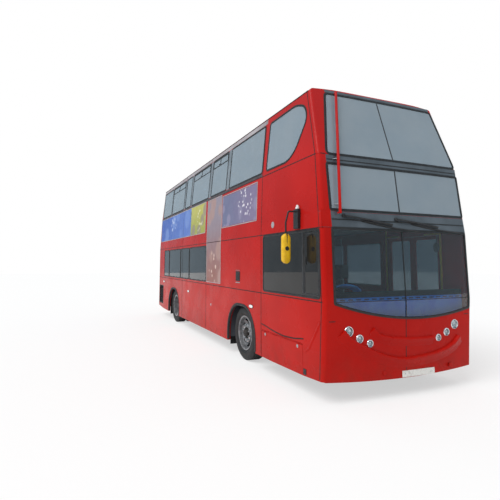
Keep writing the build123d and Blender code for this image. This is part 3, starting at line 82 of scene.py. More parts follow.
# Windows: rear x, front x, and the shared heights of each row
UPPER_PANES = (
    (1.600, 3.168), (0.420, 1.410), (-1.180, 0.235), (-1.860, -1.330), (-3.450, -2.030), (-4.740, -3.550),
)
HOPPER_PANES = (1, 2, 4)
HOPPER_Z = 3.880
UPPER_Z = (3.240, 4.058)
REAR_PANES = ((-4.240, -3.590), (-3.535, -2.150), (-2.112, -1.240))
OFFSIDE_PANES = REAR_PANES + ((-1.200, 0.230),)
NEARSIDE_PANES = REAR_PANES + ((-1.200, -0.560), (0.930, 2.050), (2.095, 3.190))
LOWER_Z = (1.320, 2.120)
CAB_PANE = ((3.282, 1.300), (4.925, 1.300), (4.925, 2.168), (3.282, 2.168))
# The egg-shaped front pane, and how far each of its corners is rounded
TEARDROP = (
    (3.325, 3.245), (4.050, 3.241), (4.263, 3.361), (4.537, 3.758), (4.455, 3.963), (4.187, 4.059),
    (3.350, 4.045),
)
TEARDROP_RADII = (0.06, 0.6, 0.6, 0.6, 0.6, 0.6, 0.06)
PANE_RADIUS = 0.045

# Wheels
TYRE_RADIUS = 0.478
RIM_RADIUS = 0.286
FRONT_AXLE_X = 2.320
REAR_AXLE_X = -2.900
TRACK_Y = 1.060
TWIN_PITCH = 0.320
HUB_Z = TYRE_RADIUS
ARCH_HALF = 0.650
ARCH_TOP = 0.985
ARCH_RADIUS = 0.550

# How far thin things stand off the skin
FILM_PROUD = 0.0012
POST_FILM_PROUD = 0.0013
SHEET_PROUD = 0.002
JOINT_PROUD = 0.0025

SIDES = (("offside", -1), ("nearside", 1))


def level(z, column):
    """One column of the plan at a height between two sections."""
    for low, high in zip(SECTIONS, SECTIONS[1:]):
        if z <= high[0]:
            share = (z - low[0]) / (high[0] - low[0])
            return low[column] + share * (high[column] - low[column])
    return SECTIONS[-1][column]


def on_wall(face, u, z, proud=0.0):
    """A point on the body's skin. u is x on the sides and y on the ends."""
    if face == "offside":
        return Vector((u, -level(z, HALF_WIDTH) - proud, z))
    if face == "nearside":
        return Vector((u, level(z, HALF_WIDTH) + proud, z))
    if face == "front":
        bow = level(z, BOW) * (1 - (u / level(z, HALF_WIDTH)) ** 2)
        return Vector((level(z, FRONT_X) + bow + proud, u, z))
    return Vector((level(z, REAR_X) - proud, u, z))


# Colours and nodes
def linear(colour):
    """An sRGB hex colour as linear RGBA."""
    parts = [int(colour[i:i + 2], 16) / 255 for i in (1, 3, 5)]
    return [c / 12.92 if c <= 0.04045 else ((c + 0.055) / 1.055) ** 2.4 for c in parts] + [1.0]


def fill(tree, made, inputs):
    """Sets a node's inputs. Each takes a value, or the output of another node that feeds it."""
    for name, value in inputs.items():
        if isinstance(value, bpy.types.NodeSocket):
            tree.links.new(value, made.inputs[name])
        else:
            made.inputs[name].default_value = value


def node(tree, kind, inputs=None, **settings):
    """Adds a node with its settings and inputs."""
    made = tree.nodes.new(kind)
    for name, value in settings.items():
        setattr(made, name, value)
    fill(tree, made, inputs or {})
    return made


def combine(tree, operation, a, b):
    """One value made of two, each a number or another node's output."""
    return node(tree, "ShaderNodeMath", {0: a, 1: b}, operation=operation).outputs[0]


def relief(tree, height, strength, depth):
    """The normal of a surface with a height in relief."""
    bump = {"Height": height, "Strength": strength, "Distance": depth}
    return node(tree, "ShaderNodeBump", bump).outputs["Normal"]


def start(name):
    """A new material: its tree, its shader and the place of each point in metres."""
    material = bpy.data.materials.new(name)
    material.use_nodes = True
    tree = material.node_tree
    place = node(tree, "ShaderNodeTexCoord").outputs["Object"]
    return material, tree, tree.nodes["Principled BSDF"], place


def blotch(tree, place, size_mm, low=0.35, high=0.65, detail=3.0):
    """A value from 0 to 1 that drifts over patches of a size."""
    noise = node(tree, "ShaderNodeTexNoise", {"Vector": place, "Scale": 1000 / size_mm, "Detail": detail})
    spread = {"Value": noise.outputs["Fac"], "From Min": low, "From Max": high}
    return node(tree, "ShaderNodeMapRange", spread).outputs["Result"]


def blend_colour(tree, share, low, high):
    """A colour between two, by a share. A colour is a hex value or another node's output."""
    mix = node(tree, "ShaderNodeMix", data_type="RGBA")
    tree.links.new(share, mix.inputs["Factor"])
    for name, colour in (("A", low), ("B", high)):
        socket = [s for s in mix.inputs if s.name == name and s.type == "RGBA"][0]
        if isinstance(colour, bpy.types.NodeSocket):
            tree.links.new(colour, socket)
        else:
            socket.default_value = linear(colour)
    return [s for s in mix.outputs if s.type == "RGBA"][0]


def ramp_range(tree, value, low, high, to_low=0.0, to_high=1.0):
    """A value mapped smoothly from one range to another, and held at its ends."""
    settings = {"Value": value, "From Min": low, "From Max": high, "To Min": to_low, "To Max": to_high}
    return node(tree, "ShaderNodeMapRange", settings, interpolation_type="SMOOTHSTEP").outputs["Result"]


def finish(name, dark, light, patch_mm, roughness, grain_mm=None, grain_depth_mm=0.1, **sockets):
    """A surface of two near shades in patches, with uneven gloss and a grain in relief."""
    material, tree, bsdf, place = start(name)
    smoothest, roughest = roughness * 0.8, min(1.0, roughness * 1.25)
    fill(tree, bsdf, {
        "Base Color": blend_colour(tree, blotch(tree, place, patch_mm), dark, light),
        "Roughness": ramp_range(tree, blotch(tree, place, patch_mm / 3), 0, 1, smoothest, roughest),
    })
    if grain_mm:
        grain = blotch(tree, place, grain_mm, 0.3, 0.7, 2.0)
        fill(tree, bsdf, {"Normal": relief(tree, grain, 0.6, grain_depth_mm / 1000)})
    fill(tree, bsdf, {socket.replace("_", " "): value for socket, value in sockets.items()})
    return material


def coach_enamel():
    """Two-pack gloss coach enamel, sprayed: deep red, paler high up as painted light from the sky, road film
    low down.
    """
    material, tree, bsdf, place = start("red_coach_enamel")
    height = node(tree, "ShaderNodeSeparateXYZ", {"Vector": place}).outputs["Z"]
    patches = blend_colour(tree, blotch(tree, place, 900), "#A9150F", "#B81A13")
    # Paler and pinker towards the top: painted light from the sky above
    painted_sky_light_high = blend_colour(tree, ramp_range(tree, height, 1.6, 4.2, 0.0, 0.45), patches, "#AC3033")
    low_down = ramp_range(tree, height, 0.8, 0.2, 0.0, 0.45)
    film = combine(tree, "MULTIPLY", low_down, blotch(tree, place, 160, 0.3, 0.75))
    # Orange peel of the sprayed coat, drawn at 40 mm so that it shows at this scale
    ripple = {"Vector": place, "Scale": 1000 / 40, "Detail": 0.0}
    waves = node(tree, "ShaderNodeTexNoise", ripple).outputs["Fac"]
    fill(tree, bsdf, {
        "Base Color": blend_colour(tree, film, painted_sky_light_high, "#7A2A20"),
        "Roughness": ramp_range(tree, blotch(tree, place, 350), 0, 1, 0.22, 0.34),
        "Normal": relief(tree, waves, 0.15, 0.0006),
        "Specular IOR Level": 0.10, "IOR": 1.4, "Coat Weight": 0.01, "Coat Roughness": 0.08,
    })
    return material


def tinted_glass(name, tint, film_colour, share, clear=1.0, shine=0.5):
    """Toughened glass with a body tint: clear to look through, with a faint film of road dust."""
    material, tree, bsdf, place = start(name)
    dusty = combine(tree, "MULTIPLY", blotch(tree, place, 420), share)
    fill(tree, bsdf, {
        "Base Color": blend_colour(tree, dusty, tint, film_colour),
        "Roughness": ramp_range(tree, blotch(tree, place, 300), 0, 1, 0.01, 0.05),
        "Transmission Weight": clear, "IOR": 1.52, "Specular IOR Level": shine,
    })
    return material


def moquette():
    """Wool moquette: short cut pile woven in small blocks of blue, grey and red, dull with a soft sheen."""
    material, tree, bsdf, place = start("wool_moquette")
    blocks = node(tree, "ShaderNodeTexChecker", {"Vector": place, "Scale": 1000 / 45})
    fine = node(tree, "ShaderNodeTexChecker", {"Vector": place, "Scale": 1000 / 22})
    ground = blend_colour(tree, blocks.outputs["Fac"], "#1D2C57", "#27407A")
    fleck = node(tree, "ShaderNodeTexVoronoi", {"Vector": place, "Scale": 1000 / 60})
    near = ramp_range(tree, fleck.outputs["Distance"], 0.28, 0.2)
    spots = combine(tree, "MULTIPLY", near, fine.outputs["Fac"])
    # Pile drawn at 4 mm, coarser than real, so that it shows
    pile = blotch(tree, place, 4, 0.2, 0.8, 1.0)
    fill(tree, bsdf, {
        "Base Color": blend_colour(tree, spots, ground, "#A03038"),
        "Normal": relief(tree, pile, 0.7, 0.0015), "Roughness": 0.92, "Sheen Weight": 0.4,
    })
    return material


def two_tone_fascia():
    """Moulded dashboard: blue fascia below a black anti-glare top pad, the pad soft-touch and dull."""
    material, tree, bsdf, place = start("two_tone_fascia")
    height = node(tree, "ShaderNodeSeparateXYZ", {"Vector": place}).outputs["Z"]
    blue = blend_colour(tree, blotch(tree, place, 140), "#1C7DFF", "#3E98FF")
    pad = ramp_range(tree, height, 1.288, 1.292)
    fill(tree, bsdf, {
        "Base Color": blend_colour(tree, pad, blue, "#15171A"),
        "Roughness": ramp_range(tree, pad, 0, 1, 0.45, 0.85),
        "Normal": relief(tree, blotch(tree, place, 4, 0.3, 0.7, 2.0), 0.6, 0.0003),
    })
    return material


def printed_vinyl(name, ground, fade, shapes, accent, size_mm, axis="X", span=(0.0, 1.0), middle=(0.0, 0.0)):
    """Cast vinyl sheet, printed: a fading ground, large soft discs and a cluster of small pale spots."""
    material, tree, bsdf, place = start(name)
    parts = node(tree, "ShaderNodeSeparateXYZ", {"Vector": place})
    field = blend_colour(tree, ramp_range(tree, parts.outputs[axis], *span), ground, fade)
    flat = node(tree, "ShaderNodeMapping", {"Vector": place, "Scale": (1, 0, 1)}).outputs["Vector"]
    discs = node(tree, "ShaderNodeTexVoronoi", {"Vector": flat, "Scale": 1000 / size_mm, "Randomness": 0.9})
    soft = ramp_range(tree, discs.outputs["Distance"], 0.48, 0.34, 0.0, 0.75)
    shown = blend_colour(tree, soft, field, shapes)
    spots = node(tree, "ShaderNodeTexVoronoi", {"Vector": flat, "Scale": 3400 / size_mm, "Randomness": 1.0})
    spot = ramp_range(tree, spots.outputs["Distance"], 0.34, 0.24)
    x_away = combine(tree, "SUBTRACT", parts.outputs["X"], middle[0])
    z_away = combine(tree, "SUBTRACT", parts.outputs["Z"], middle[1])
    away = node(tree, "ShaderNodeCombineXYZ", {"X": x_away, "Z": z_away})
    reach = node(tree, "ShaderNodeVectorMath", {0: away.outputs[0]}, operation="LENGTH").outputs["Value"]
    lit = combine(tree, "MULTIPLY", spot, ramp_range(tree, reach, 0.42, 0.22))
    fill(tree, bsdf, {
        "Base Color": blend_colour(tree, lit, shown, accent),
        "Roughness": ramp_range(tree, blotch(tree, place, 200), 0, 1, 0.3, 0.45),
        "Specular IOR Level": 0.3,
    })
    return material


def number_plate_sheet():
    """Reflective plate sheeting behind acrylic: white at the front, yellow at the back, slightly pearly."""
    material, tree, bsdf, place = start("retroreflective_plate")
    along = node(tree, "ShaderNodeSeparateXYZ", {"Vector": place}).outputs["X"]
    colour = blend_colour(tree, ramp_range(tree, along, -0.1, 0.1), "#D8A818", "#D9DAD6")
    fill(tree, bsdf, {
        "Base Color": blend_colour(tree, blotch(tree, place, 60, 0.5, 0.9), colour, "#8F8C84"),
        "Roughness": ramp_range(tree, blotch(tree, place, 25), 0, 1, 0.2, 0.4),
    })
    return material


def tyre_rubber():
    """Carbon-black tyre rubber, moulded: matt, greyed by dust in patches."""
    material, tree, bsdf, place = start("tyre_rubber")
    dust = blotch(tree, place, 70, 0.45, 0.8)
    fill(tree, bsdf, {
        "Base Color": blend_colour(tree, dust, "#17171A", "#35332F"),
        "Normal": relief(tree, blotch(tree, place, 8, 0.3, 0.7, 2.0), 0.5, 0.0006),
        "Roughness": ramp_range(tree, dust, 0, 1, 0.62, 0.9),
    })
    return material


RED = coach_enamel()
# EPDM sealing rubber, extruded: black, satin, with faint dust
SEAL = finish("epdm_seal_rubber", "#111214", "#1D1E20", 60, 0.55, 5, 0.3)
# Polyurethane sealant drawn in the panel joints: near black, dull
SEALANT = finish("joint_sealant", "#0E0C0C", "#1A1716", 40, 0.7, 6, 0.3)
# Green-grey body-tinted side glass
GLASS = tinted_glass("tinted_side_glass", "#566067", "#7D868A", 0.3, shine=0.6)
# The same glass on the upper deck, made pale and part opaque as a painted reflection of the sky, which hides
# part of the inside
SKY_REFLECTION_GLASS = tinted_glass("glass_painted_sky_reflection", "#A3B4C0", "#B4C0C8", 0.4, clear=0.45, shine=0.8)
# The driver's window, darker than the saloon's glass: painted shade of the cab behind it
CAB_SHADE_GLASS = tinted_glass("cab_glass_painted_shade", "#343434", "#1C1C1B", 0.5, clear=0.5, shine=0.08)
# Laminated front glass, paler than the side glass
SCREEN = tinted_glass("laminated_screen_glass", "#C3D0D4", "#B4BDC0", 0.25)
# Gloss black enamel round the windows
GLOSS_BLACK = finish("gloss_black_enamel", "#0D0E10", "#17181B", 300, 0.18, Coat_Weight=0.4)
# Slate ceramic band baked on the glass of the front
SLATE_BAND = finish("slate_ceramic_band", "#434B52", "#515A62", 300, 0.2, Coat_Weight=0.4)
# Chassis enamel under road dirt
CHASSIS = finish("chassis_enamel", "#1A1B1D", "#39352F", 120, 0.6, 9, 0.5)
# Powder-coated steel wheel in silver, with brake dust in patches
WHEEL = finish("silver_wheel_enamel", "#66676A", "#8F9092", 60, 0.38, 7, 0.2, Metallic=0.35)
# Dark greasy hub casting
HUB = finish("hub_cast_iron", "#1B1A19", "#34302C", 35, 0.55, 5, 0.6, Metallic=0.5)
# Zinc-plated steel of nuts, bolts and catches
ZINC = finish("zinc_plated_steel", "#A9ABAD", "#C9CBCD", 12, 0.3, 2, 0.1, Metallic=1.0)
# Polished chromium plate
CHROME = finish("chrome_plate", "#D4D7DA", "#E4E6E8", 50, 0.08, Metallic=1.0)
# Silvered mirror glass
MIRROR = finish("silvered_mirror_glass", "#C9D0D4", "#D6DCDF", 200, 0.02, Metallic=1.0)
# Vacuum-metallised lamp reflector
REFLECTOR = finish("aluminised_reflector", "#B9BCC0", "#D9DBDD", 20, 0.12, 9, 0.6, Metallic=1.0)
# Yellow moulded ABS of the mirror shells
YELLOW_ABS = finish("yellow_moulded_abs", "#D8A90C", "#E8BC1A", 90, 0.42, 4, 0.25)
# Yellow polyester powder coat on handrails and step edges
YELLOW_COAT = finish("yellow_powder_coat", "#D9B312", "#E6C220", 120, 0.35, 3, 0.15)
# Black grained ABS trim
BLACK_ABS = finish("black_grained_abs", "#141517", "#222326", 80, 0.5, 4, 0.3)
# Blue moulded fascia plastic, sun-faded in patches
BLUE_FASCIA = finish("blue_moulded_fascia", "#2F86E6", "#4C9CF2", 140, 0.5, 4, 0.25)
# Dark blue moulded seat shells, scuffed
BLUE_SHELL = finish("dark_blue_seat_shell", "#1B2B52", "#26396A", 90, 0.45, 4, 0.2)
# Grey melamine laminate of partitions and stair sides
LAMINATE = finish("grey_melamine_laminate", "#9CA1A5", "#AEB2B5", 200, 0.45, 3, 0.1)
# Pale glass-fibre ceiling lining
LINING = finish("gelcoat_lining", "#C7CACB", "#D6D8D8", 400, 0.4, 30, 0.3)
# Slip-resistant safety vinyl with mineral flecks
FLOOR_VINYL = finish("fleck_safety_vinyl", "#3A3D44", "#5A5F68", 5, 0.7, 4, 0.4)
# Cast iron and painted steel of the engine
IRON = finish("painted_engine_iron", "#3B3E3A", "#5B5F58", 60, 0.6, 8, 0.8, Metallic=0.3)
# Clear polycarbonate lamp lens
LENS = tinted_glass("polycarbonate_lens", "#EEF1F2", "#D9DCDD", 0.3)
# Tail lamp acrylics: fluted red and amber
TAIL_RED = finish("red_lamp_acrylic", "#8E0A0C", "#B81216", 20, 0.15, 6, 0.8, Coat_Weight=0.5)
TAIL_AMBER = finish("amber_lamp_acrylic", "#C4620A", "#DE7C12", 20, 0.15, 6, 0.8, Coat_Weight=0.5)
WHITE_ACRYLIC = finish("opal_acrylic", "#E2E4E4", "#F0F1F1", 50, 0.25, 6, 0.2)
# Aluminium extrusion, satin anodised
ANODISED = finish("anodised_aluminium", "#A8ACAF", "#BEC2C5", 70, 0.35, 3, 0.08, Metallic=0.85)
# Pale grey on the cant rail and window surrounds, where it is a painted highlight of the sky on the rounded
# roof edge, and the own colour of the panel frames and caps
PALE_TRIM_AND_HIGHLIGHT = finish("pale_trim_and_painted_highlight", "#9A9497", "#AEA9AC", 260, 0.35, 30, 0.1)
# Grey-blue film on the pillars between the upper windows
PILLAR_FILM = finish("grey_blue_vinyl_film", "#6C757D", "#7D868E", 260, 0.3, 30, 0.1)
# Dark tinted band along the waist of the upper windows
WAIST_FILM = finish("charcoal_vinyl_film", "#3A3133", "#4A4143", 260, 0.4, 30, 0.1)
# Unlit dot-matrix display behind its smoked cover
DISPLAY = finish("unlit_display_panel", "#6E6C6C", "#848281", 30, 0.45, 12, 0.8)
PLATE = number_plate_sheet()
RUBBER = tyre_rubber()
FASCIA = two_tone_fascia()
CLOTH = moquette()
# Four generic prints: blue, lime, a warm upright and a dusky one
VINYL_BLUE = printed_vinyl(
    "printed_vinyl_blue", "#3F5FB0", "#5876BE", "#6F8CCB", "#B9C8E8", 620, "X", (-4.9, -1.2), (-3.1, 2.85)
)
VINYL_LIME = printed_vinyl(
    "printed_vinyl_lime", "#9C9F4A", "#B6B45C", "#8A7F78", "#D9D6A8", 380, "Z", (2.5, 3.1), (-0.45, 2.8)
)
VINYL_WARM = printed_vinyl(
    "printed_vinyl_warm", "#8E5F57", "#8D8592", "#A8877E", "#D0B5A8", 520, "Z", (1.4, 3.0), (0.72, 1.65)
)
VINYL_DUSK = printed_vinyl(
    "printed_vinyl_dusk", "#6A6D8C", "#7C7190", "#8C86A2", "#D8D5DE", 300, "X", (1.3, 3.0), (2.45, 2.85)
)

NODE_FINISHES = {
    RED: (
        "skirt_panels", "lower_window_panels", "between_deck_panels", "upper_window_panels", "roof",
        "front_mask", "front_pillars", "upper_front_surround", "rear_lower_panel", "rear_upper_panel",
        "engine_door", "service_hatch", "guard_pole",
    ),
    SLATE_BAND: ("front_header",),
    GLASS: ("side_glass",),
    SCREEN: ("end_glass",),
    CHASSIS: ("chassis_frame", "front_axle", "rear_axle"),
    HUB: ("steering_knuckle_offside", "steering_knuckle_nearside"),
    WHEEL: ("rear_wheels_offside", "rear_wheels_nearside"),
    IRON: ("engine_block",),
    BLACK_ABS: ("side_grilles", "mirror_arms", "steering_wheel"),
    FASCIA: ("dashboard",),
    LAMINATE: ("cab_partition", "staircase"),
    FLOOR_VINYL: ("lower_floor", "upper_floor"),
    YELLOW_COAT: ("handrails",),
    PLATE: ("number_plates",),
}
# The doors' nodes, by a part of their names
DOOR_FINISHES = {"_leaf_": RED, "door_glass_": GLASS, "_post_": YELLOW_COAT}


def repaint(name, material):
    """Gives a CAD node its one finish."""
    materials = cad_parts[name].data.materials
    materials.clear()
    materials.append(material)


for material, names in NODE_FINISHES.items():
    for name in names:
        repaint(name, material)
for mark, material in DOOR_FINISHES.items():
    for name in [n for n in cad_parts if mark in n]:
        repaint(name, material)

# The upper deck's panes and the sign glass get the pale glass with its painted sky reflection, the windscreen
# and the doors don't
PALE_GLASS_LEVEL = 2.3
for name, above, behind in (("side_glass", SKY_REFLECTION_GLASS, None), ("end_glass", SKY_REFLECTION_GLASS, GLASS)):
    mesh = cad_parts[name].data
    for material in (above, behind):
        if material:
            mesh.materials.append(material)
    for face in mesh.polygons:
        if face.center.z > PALE_GLASS_LEVEL:
            face.material_index = 2 if behind and face.center.x < 0 else 1


# Mesh building
def piece(name, bm, materials, body="root", slot=None, bevel=0.0, subdivide=0, crease_deg=35):
    """Turns a mesh in the making into a shown piece that rides on a body."""
    bmesh.ops.remove_doubles(bm, verts=bm.verts, dist=1e-5)
    bmesh.ops.recalc_face_normals(bm, faces=bm.faces)
    mesh = bpy.data.meshes.new(name)
    bm.to_mesh(mesh)
    bm.free()
    for material in materials if isinstance(materials, (list, tuple)) else [materials]:
        mesh.materials.append(material)
    mesh.shade_smooth()
    mesh.set_sharp_from_angle(angle=math.radians(crease_deg))
    obj = bpy.data.objects.new(name, mesh)
    scene.collection.objects.link(obj)
    if bevel:
        edge = obj.modifiers.new("edge_round", "BEVEL")
        edge.width = bevel
        edge.segments = 2
        edge.limit_method = "ANGLE"
    if subdivide:
        smooth = obj.modifiers.new("smooth", "SUBSURF")
        smooth.levels = smooth.render_levels = subdivide
    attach(obj, body)
    return obj


def skin(bm, rings, loop=False, paint=0):
    """Joins closed rings of points with faces. A loop joins the last ring to the first."""
    made = [[bm.verts.new(p) for p in ring] for ring in rings]
    pairs = list(zip(made, made[1:])) + ([(made[-1], made[0])] if loop else [])
    faces = []
    for a, b in pairs:
        for i in range(len(a)):
            j = (i + 1) % len(a)
            faces.append(bm.faces.new((a[i], a[j], b[j], b[i])))
    if not loop:
        faces.append(bm.faces.new(made[0]))
        faces.append(bm.faces.new(made[-1]))
    for face in faces:
        face.material_index = paint
    return faces


def box(bm, low, high, paint=0):
    """A box between two corners."""
    middle = (Vector(low) + Vector(high)) / 2
    half = (Vector(high) - Vector(low)) / 2
    rings = []
    for z in (-1, 1):
        ring = [Vector((x * half.x, y * half.y, z * half.z)) for x, y in ((-1, -1), (1, -1), (1, 1), (-1, 1))]
        rings.append([middle + p for p in ring])
    return skin(bm, rings, paint=paint)


def boxes(name, material, corners, **settings):
    """A piece made of plain boxes, each between two corners."""
    bm = bmesh.new()
    for low, high in corners:
        box(bm, low, high)
    return piece(name, bm, material, **settings)


def turns(count):
    """Angles spread evenly over a full turn."""
    return [2 * math.pi * k / count for k in range(count)]


def tube(bm, points, radius, sides=10):
    """A round tube along points, kept from twisting."""
    points = [Vector(p) for p in points]
    count = len(points)
    side = None
    rings = []
    for i, p in enumerate(points):
        before = points[i - 1] if i else p
        after = points[i + 1] if i < count - 1 else p
        way = (after - before).normalized()
        if side is None:
            side = way.orthogonal().normalized()
        side = (side - way * side.dot(way)).normalized()
        other = way.cross(side)
        rings.append([p + radius * (math.cos(t) * side + math.sin(t) * other) for t in turns(sides)])
    return skin(bm, rings)


def turned(bm, centre, axis, profile, segments=48, paint=0):
    """A profile of (distance along the axis, radius) turned about it."""
    axis = Vector(axis).normalized()
    side = axis.orthogonal().normalized()
    other = axis.cross(side)
    rings = []
    for t in turns(segments):
        out = math.cos(t) * side + math.sin(t) * other
        rings.append([Vector(centre) + a * axis + r * out for a, r in profile])
    return skin(bm, rings, loop=True, paint=paint)


CORNER_STEPS = 5


def rounded(points, radius, steps=CORNER_STEPS):
    """A closed outline with its corners rounded, by one radius or one for each corner."""
    result = []
    count = len(points)
    radii = radius if isinstance(radius, tuple) else (radius,) * count
    for i in range(count):
        corner = Vector(points[i])
        back = Vector(points[i - 1]) - corner
        ahead = Vector(points[(i + 1) % count]) - corner
        half = back.angle(ahead) / 2
        reach = min(radii[i] / math.tan(half), back.length * 0.48, ahead.length * 0.48)
        a = corner + back.normalized() * reach
        b = corner + ahead.normalized() * reach
        for k in range(steps + 1):
            t = k / steps
            result.append((1 - t) ** 2 * a + 2 * t * (1 - t) * corner + t * t * b)
    return result


def divided(path, longest, closed=False):
    """A path with more points, so that no step is longer than a length."""
    path = [Vector(p) for p in path]
    ends = list(zip(path, path[1:])) + ([(path[-1], path[0])] if closed else [])
    result = []
    for a, b in ends:
        steps = max(1, math.ceil((b - a).length / longest))
        result += [a.lerp(b, k / steps) for k in range(steps)]
    return result if closed else result + [path[-1]]


# Cross-sections of a bead, as shares of its width and height
LEDGE = (
    (-0.44, 0.0), (-0.20, 0.22), (0.05, 0.55), (0.22, 0.86), (0.32, 1.0), (0.39, 0.95), (0.44, 0.7),
)
ROUND_TOP = ((-0.36, 0.5), (-0.15, 0.93), (0.15, 0.93), (0.36, 0.5))
FLAT_TOP = ((-0.5, 0.6), (-0.36, 1.0), (0.36, 1.0), (0.5, 0.6))
LONGEST_STEP = 0.12


def bead(bm, face, path, width, height, closed=False, depth=0.004, paint=0, arch=False, ledge=False):
    """A strip along a wall, with a flat or a round top, or a ledge above a slope. The path is (u, z)."""
    points = divided(path, LONGEST_STEP, closed)
    count = len(points)
    profile = LEDGE if ledge else ROUND_TOP if arch else FLAT_TOP
    shape = [(-0.5, -depth)] + [(across, height * up) for across, up in profile] + [(0.5, -depth)]
    rings = []
    for i, p in enumerate(points):
        before = points[(i - 1) % count] if closed or i else p
        after = points[(i + 1) % count] if closed or i < count - 1 else p
        into = (p - before).normalized() if (p - before).length else (after - p).normalized()
        out = (after - p).normalized() if (after - p).length else into
        way = (into + out).normalized()
        square = Vector((-way.y, way.x))
        stretch = 1 / max(0.5, way.dot(into))
        ring = []
        for across, up in shape:
            spot = p + square * across * width * stretch
            ring.append(on_wall(face, spot.x, spot.y, up))
        rings.append(ring)
    return skin(bm, rings, loop=closed, paint=paint)


def sheet_on_wall(bm, face, corners, proud, depth=0.003, steps=(24, 14), paint=0):
    """A thin sheet that follows a wall between four corners (u, z), given in turn round it."""
    a, b, c, d = [Vector(p) for p in corners]
    columns, rows = steps
    layers = []
    for out in (proud, -depth):
        grid = []
        for j in range(rows + 1):
            left = a.lerp(d, j / rows)
            right = b.lerp(c, j / rows)
            spots = [left.lerp(right, i / columns) for i in range(columns + 1)]
            grid.append([bm.verts.new(on_wall(face, p.x, p.y, out)) for p in spots])
        layers.append(grid)
    faces = []
    for grid in layers:
        for j in range(rows):
            for i in range(columns):
                faces.append(bm.faces.new((grid[j][i], grid[j][i + 1], grid[j + 1][i + 1], grid[j + 1][i])))
    rims = []
    for grid in layers:
        low = grid[0]
        high = grid[-1][::-1]
        right = [row[-1] for row in grid[1:-1]]
        left = [row[0] for row in grid[1:-1]][::-1]
        rims.append(low + right + high + left)
    for i in range(len(rims[0])):
        j = (i + 1) % len(rims[0])
        faces.append(bm.faces.new((rims[0][i], rims[0][j], rims[1][j], rims[1][i])))
    for f in faces:
        f.material_index = paint
    return faces


def patch_on_wall(bm, face, outline, proud, depth=0.003):
    """A small thin plate on a wall, with any outline."""
    top, under = [[bm.verts.new(on_wall(face, *p, out)) for p in outline] for out in (proud, -depth)]
    bm.faces.new(top)
    bm.faces.new(under[::-1])
    for i in range(len(top)):
        bm.faces.new((top[i - 1], top[i], under[i], under[i - 1]))


def rectangle(x0, x1, z0, z1):
    """Corners of an upright rectangle on a wall."""
    return ((x0, z0), (x1, z0), (x1, z1), (x0, z1))


def arc_through(a, b, c, steps):
    """Points of the circle's arc from a through b to c."""
    (ax, ay), (bx, by), (cx, cy) = a, b, c
    d = 2 * (ax * (by - cy) + bx * (cy - ay) + cx * (ay - by))
    sa, sb, sc = ax * ax + ay * ay, bx * bx + by * by, cx * cx + cy * cy
    middle = Vector(((sa * (by - cy) + sb * (cy - ay) + sc * (ay - by)) / d,
                     (sa * (cx - bx) + sb * (ax - cx) + sc * (bx - ax)) / d))
    start_angle = math.atan2(ay - middle.y, ax - middle.x)
    end_angle = math.atan2(cy - middle.y, cx - middle.x)
    radius = (Vector(a) - middle).length
    angles = [start_angle + (end_angle - start_angle) * k / steps for k in range(steps + 1)]
    return [middle + radius * Vector((math.cos(t), math.sin(t))) for t in angles]


# Windows: rubber gaskets, hopper panes, film bands and a painted highlight along the cant rail
SCREEN_Y = (-1.115, 1.212)
WINDSCREEN = [Vector((y, 2.185)) for y in SCREEN_Y]
WINDSCREEN += arc_through((SCREEN_Y[1], 1.112), (0.340, 1.012), (SCREEN_Y[0], 1.238), 24)
SIGN_GLASS = rectangle(*SCREEN_Y, 2.425, 3.045)
UPPER_SCREEN = ((-1.105, 3.178), (1.204, 3.178), (1.085, 4.150), (-0.905, 4.150))
REAR_SCREEN = rectangle(-0.900, 0.900, 3.330, 4.020)
GASKET = 0.030
egg = rounded(TEARDROP, TEARDROP_RADII)

